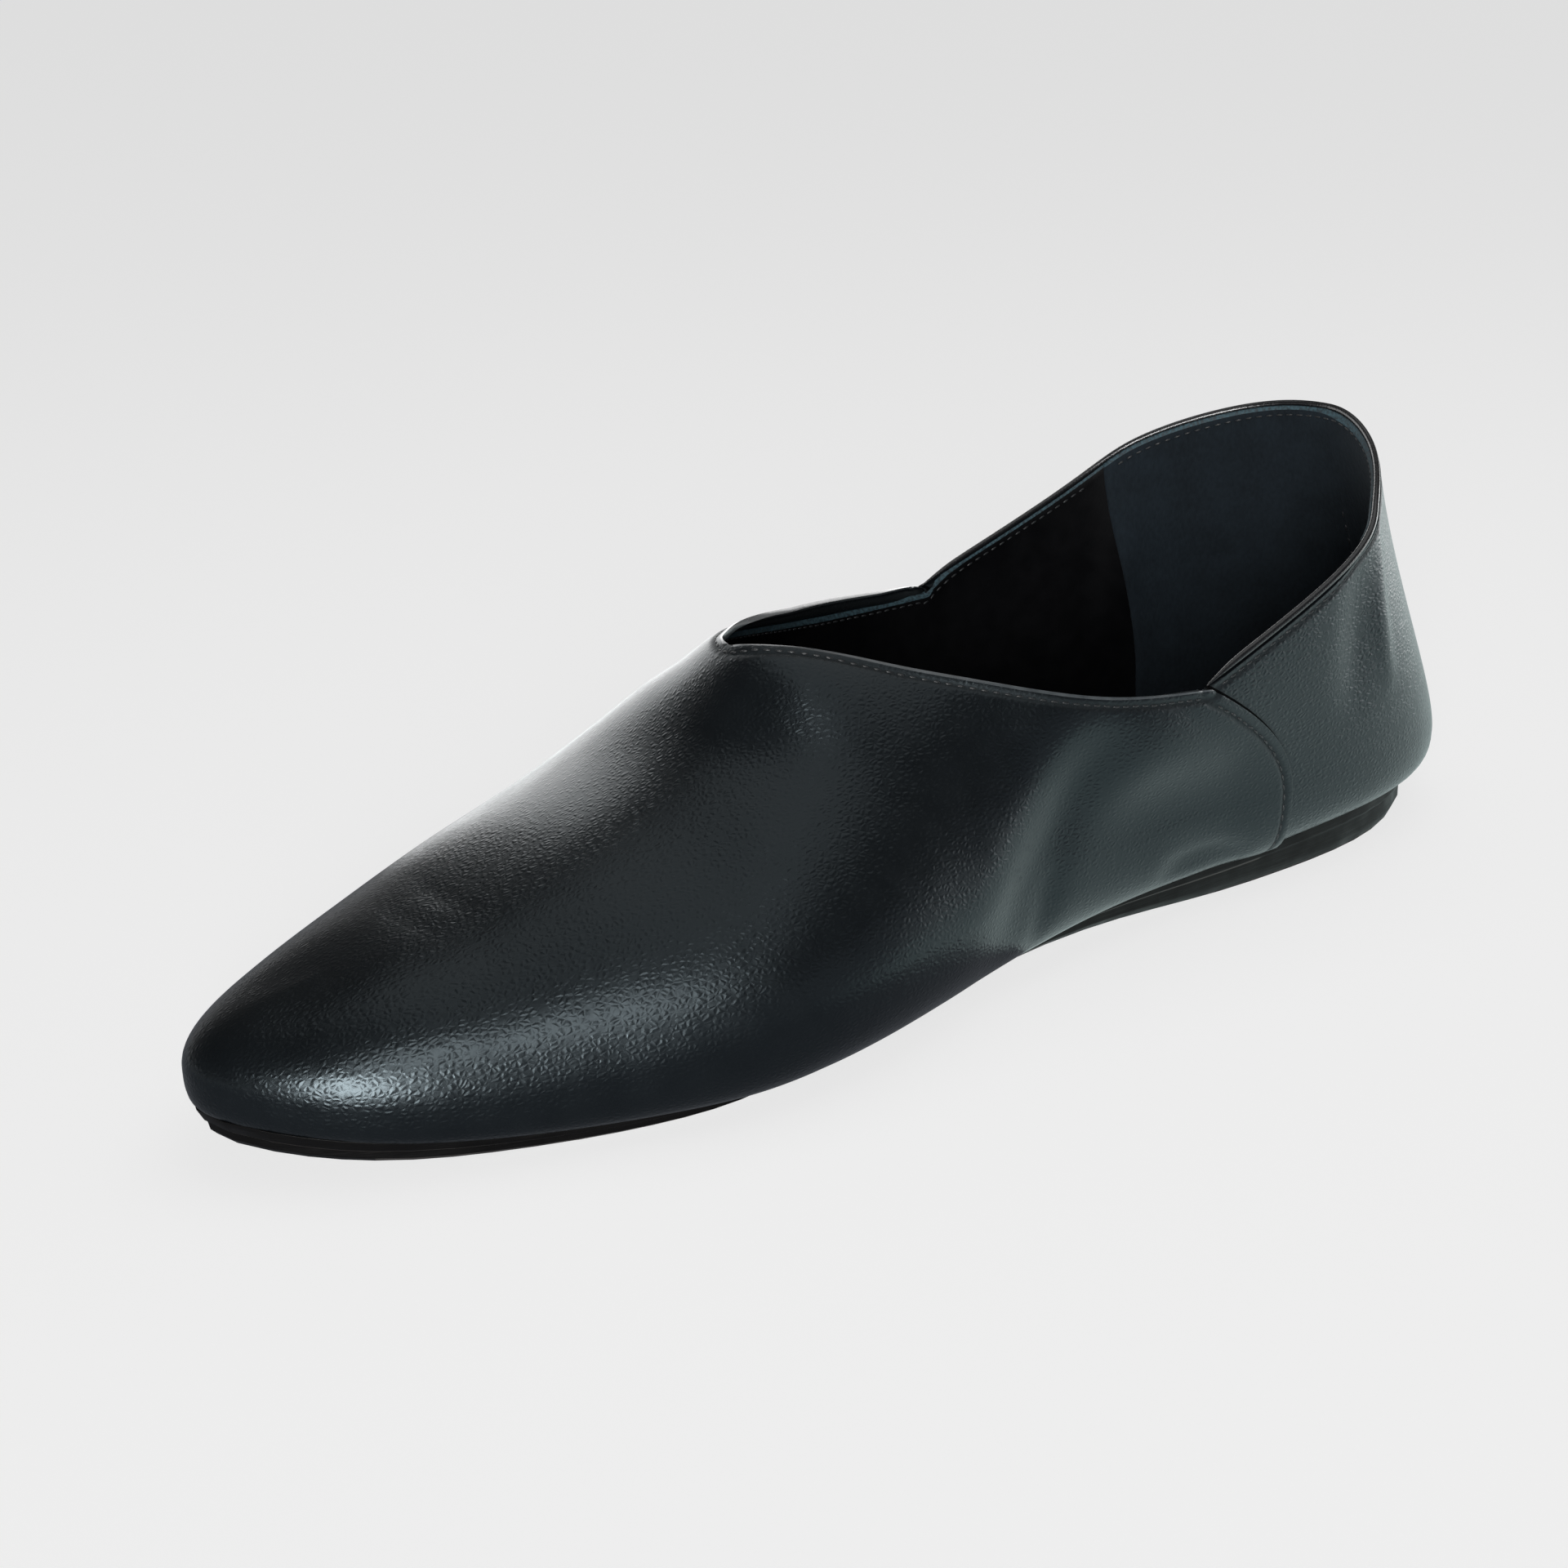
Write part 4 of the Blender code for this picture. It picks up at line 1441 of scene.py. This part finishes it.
class Use(Enum):
    """Whether a light makes shade, shine or both."""

    BOTH = "both"
    SHADE = "shade"
    SHINE = "shine"


class Panel(NamedTuple):
    """One soft light: where it hangs, what it looks at, its size in metres, its power and its use."""

    name: str
    place: Point
    aim: Point
    wide: float
    tall: float
    power: float
    use: Use


class Sky(NamedTuple):
    """Brightness of the room at one height over the horizon."""

    height: float
    bright: float


PANELS = (
    Panel("front", (1.05, 1.25, 0.41), (0.10, 0.03, 0.02), 0.74, 0.78, 27.0, Use.SHADE),
    Panel("toe", (0.41, 0.41, 0.13), (0.11, 0.03, 0.02), 0.18, 0.30, 3.8, Use.SHINE),
    Panel("instep", (0.235, 0.455, 0.46), (0.08, 0.03, 0.04), 0.19, 0.26, 1.0, Use.SHINE),
    Panel("side", (-0.06, -0.13, 0.075), (-0.06, 0.0, 0.06), 0.20, 0.15, 0.18, Use.SHINE),
    Panel("heel", (-0.36, 0.08, 0.04), (-0.11, 0.02, 0.04), 0.34, 0.08, 0.2, Use.SHINE),
    Panel("overhead", (-0.16, 0.03, 0.50), (-0.16, 0.03, 0.0), 0.60, 0.55, 0.65, Use.BOTH),
)

SKY = (
    Sky(0.0, 0.24),
    Sky(0.15, 0.11),
    Sky(0.6, 0.075),
    Sky(1.0, 0.10),
)


@dataclass
class Studio:
    """Pale floor, soft light and the camera."""

    camera_place: Point = (0.2533, 0.3174, 0.1827)
    camera_aim: Point = (0.0167, -0.0063, 0.030)
    camera_roll: float = -1.5
    lens: float = 58.0
    floor_size: float = 6.0
    flag_back: float = -0.20
    flag_front: float = 0.12
    flag_height: float = 0.08
    card_height: float = 0.0005
    card_back: float = -0.60
    card_split: float = -0.01
    card_front: float = 0.40
    card_side: float = 0.17
    card_far: float = -0.30

    def stage_piece(self, name: str, work: Work, finish: Material) -> Piece:
        """Turn a finished bmesh into a piece of the studio."""
        made = new_object(name, work, [finish])
        return made

    def floor(self) -> None:
        """Lay the floor."""
        work = bmesh.new()
        bmesh.ops.create_grid(work, x_segments=2, y_segments=2, size=self.floor_size)
        self.stage_piece("floor", work, PaleFloor().make())

    def card(self, finish: StudioCard, corners: Sequence[Point]) -> None:
        """Set up a flat card with four corners that only reflections see."""
        work = bmesh.new()
        work.faces.new([work.verts.new(corner) for corner in corners])
        made = self.stage_piece(finish.name, work, finish.make())
        made.visible_camera = False
        made.visible_diffuse = False
        made.visible_shadow = False

    def floor_card(self, finish: StudioCard, back: float, front: float) -> None:
        """Lay a card on the floor under the shoe."""
        side = self.card_side
        far = self.card_far
        low = self.card_height
        self.card(finish, ((back, far, low), (front, far, low), (front, side, low), (back, side, low)))

    def cards(self) -> None:
        """Glowing cards that only reflections see: dark ones round the toe as painted shade in the
        toe's reflections, and a pale one under the heel as a painted reflection of a bright floor.
        """
        side = self.card_side
        low = self.card_height
        high = self.flag_height
        self.floor_card(StudioCard("toe_card", (0.18, 0.19, 0.21)), self.card_split, self.card_front)
        self.card(StudioCard("side_card", (0.24, 0.25, 0.27)),
                  ((self.flag_back, side, low), (self.flag_front, side, low),
                   (self.flag_front, side, high), (self.flag_back, side, high)))
        self.floor_card(StudioCard("heel_card", (0.74, 0.88, 0.87)), self.card_back, self.card_split)

    def light(self, panel: Panel) -> None:
        """Hang one soft light that looks at the shoe."""
        lamp = bpy.data.lights.new(panel.name, "AREA")
        lamp.shape = "RECTANGLE"
        lamp.size = panel.wide
        lamp.size_y = panel.tall
        lamp.energy = panel.power
        made = bpy.data.objects.new(panel.name, lamp)
        made.location = panel.place
        made.rotation_mode = "QUATERNION"
        made.rotation_quaternion = (Vector(panel.aim) - Vector(panel.place)).to_track_quat("-Z", "Y")
        made.visible_camera = False
        made.visible_diffuse = panel.use is not Use.SHINE
        made.visible_glossy = panel.use is not Use.SHADE
        bpy.context.scene.collection.objects.link(made)

    def world(self) -> None:
        """A dim room, lighter at the horizon."""
        world = bpy.data.worlds.new("studio")
        world.use_nodes = True
        bpy.context.scene.world = world
        nodes = world.node_tree.nodes
        links = world.node_tree.links
        place = nodes.new("ShaderNodeTexCoord")
        split = nodes.new("ShaderNodeSeparateXYZ")
        ramp = nodes.new("ShaderNodeValToRGB")
        steps = ramp.color_ramp.elements
        for number, row in enumerate(SKY):
            step = steps[number] if number < 2 else steps.new(row.height)
            step.position = row.height
            step.color = (row.bright, row.bright, row.bright, 1.0)
        links.new(place.outputs["Generated"], split.inputs["Vector"])
        links.new(split.outputs["Z"], ramp.inputs["Fac"])
        links.new(ramp.outputs["Color"], nodes["Background"].inputs["Color"])
        nodes["Background"].inputs["Strength"].default_value = 1.0

    def camera(self) -> None:
        """Set the camera at the photograph's angle to the shoe."""
        data = bpy.data.cameras.new("camera")
        data.lens = self.lens
        data.sensor_width = 36.0
        data.clip_start = 0.01
        made = bpy.data.objects.new("camera", data)
        made.location = self.camera_place
        look = Vector(self.camera_aim) - Vector(self.camera_place)
        made.rotation_mode = "QUATERNION"
        roll = Quaternion((0.0, 0.0, 1.0), math.radians(self.camera_roll))
        made.rotation_quaternion = look.to_track_quat("-Z", "Y") @ roll
        bpy.context.scene.collection.objects.link(made)
        bpy.context.scene.camera = made

    def build(self) -> None:
        """Set up the studio."""
        self.floor()
        self.cards()
        self.world()
        for panel in PANELS:
            self.light(panel)
        self.camera()
        bpy.context.scene.view_settings.view_transform = "Standard"


def main() -> None:
    """Build the shoe piece by piece, then the studio."""
    logging.basicConfig(level=logging.INFO, format="%(name)s %(message)s")
    last = Last()
    skin = Skin(last, Creases())
    # Painted highlight: paler, shiny finish for the vamp's folded rim.
    fold = folded_edge_highlight().make()
    leather = GrainLeather().make()
    rear = GrainLeather("quarter_leather", stretch=(0.62, 0.62, 1.0), depth=0.00006).make()
    thread = waxed_thread().make()
    smooth = smooth_lining("lining_leather").make()
    raw = RawEdge().make()
    vamp = Vamp(skin)
    vamp_piece = vamp.build([leather, fold])
    quarter = Quarter(skin)
    quarter_piece = quarter.build([rear, fold, SeamShade().make()])
    lining = Lining(skin)
    front_piece = lining.build_front([smooth, raw])
    heel_piece = lining.build_heel([NappedLining().make(), raw])
    collar = quarter.collar_edge()
    Binding(skin).build(collar, RolledLeather().make())
    Insole().build(smooth_lining("insole_leather").make())
    Outsole().build(StackedSole().make(), ground_leather().make())
    down = Vector((0.0, 0.0, -1.0))
    ahead = Vector((1.0, 0.0, 0.0))
    lower = lining.stitch_drop
    edges = lining.edges
    rows = (
        (StitchLine("throat_stitches", skin.stitch_drop), vamp.throat_edge(), vamp_piece, down),
        (StitchLine("collar_stitches", skin.collar_drop), collar, quarter_piece, down),
        (StitchLine("inner_seam_stitches", vamp.seam_inset), vamp.seam_edge(0), vamp_piece, ahead),
        (StitchLine("outer_seam_stitches", vamp.seam_inset), vamp.seam_edge(-1), vamp_piece, ahead),
        (StitchLine("front_lining_stitches", lower), edges["front"], front_piece, down),
        (StitchLine("heel_lining_stitches", lower), edges["heel"], heel_piece, down),
        (StitchLine("heel_seam_stitches", 0.0, pitch=3.0), edges["back"], heel_piece, down),
    )
    for line, edge, sheet, hint in rows:
        line.build(last.to_frame(edge), sheet, hint, thread)
    Studio().build()


if __name__ == "__main__":
    main()
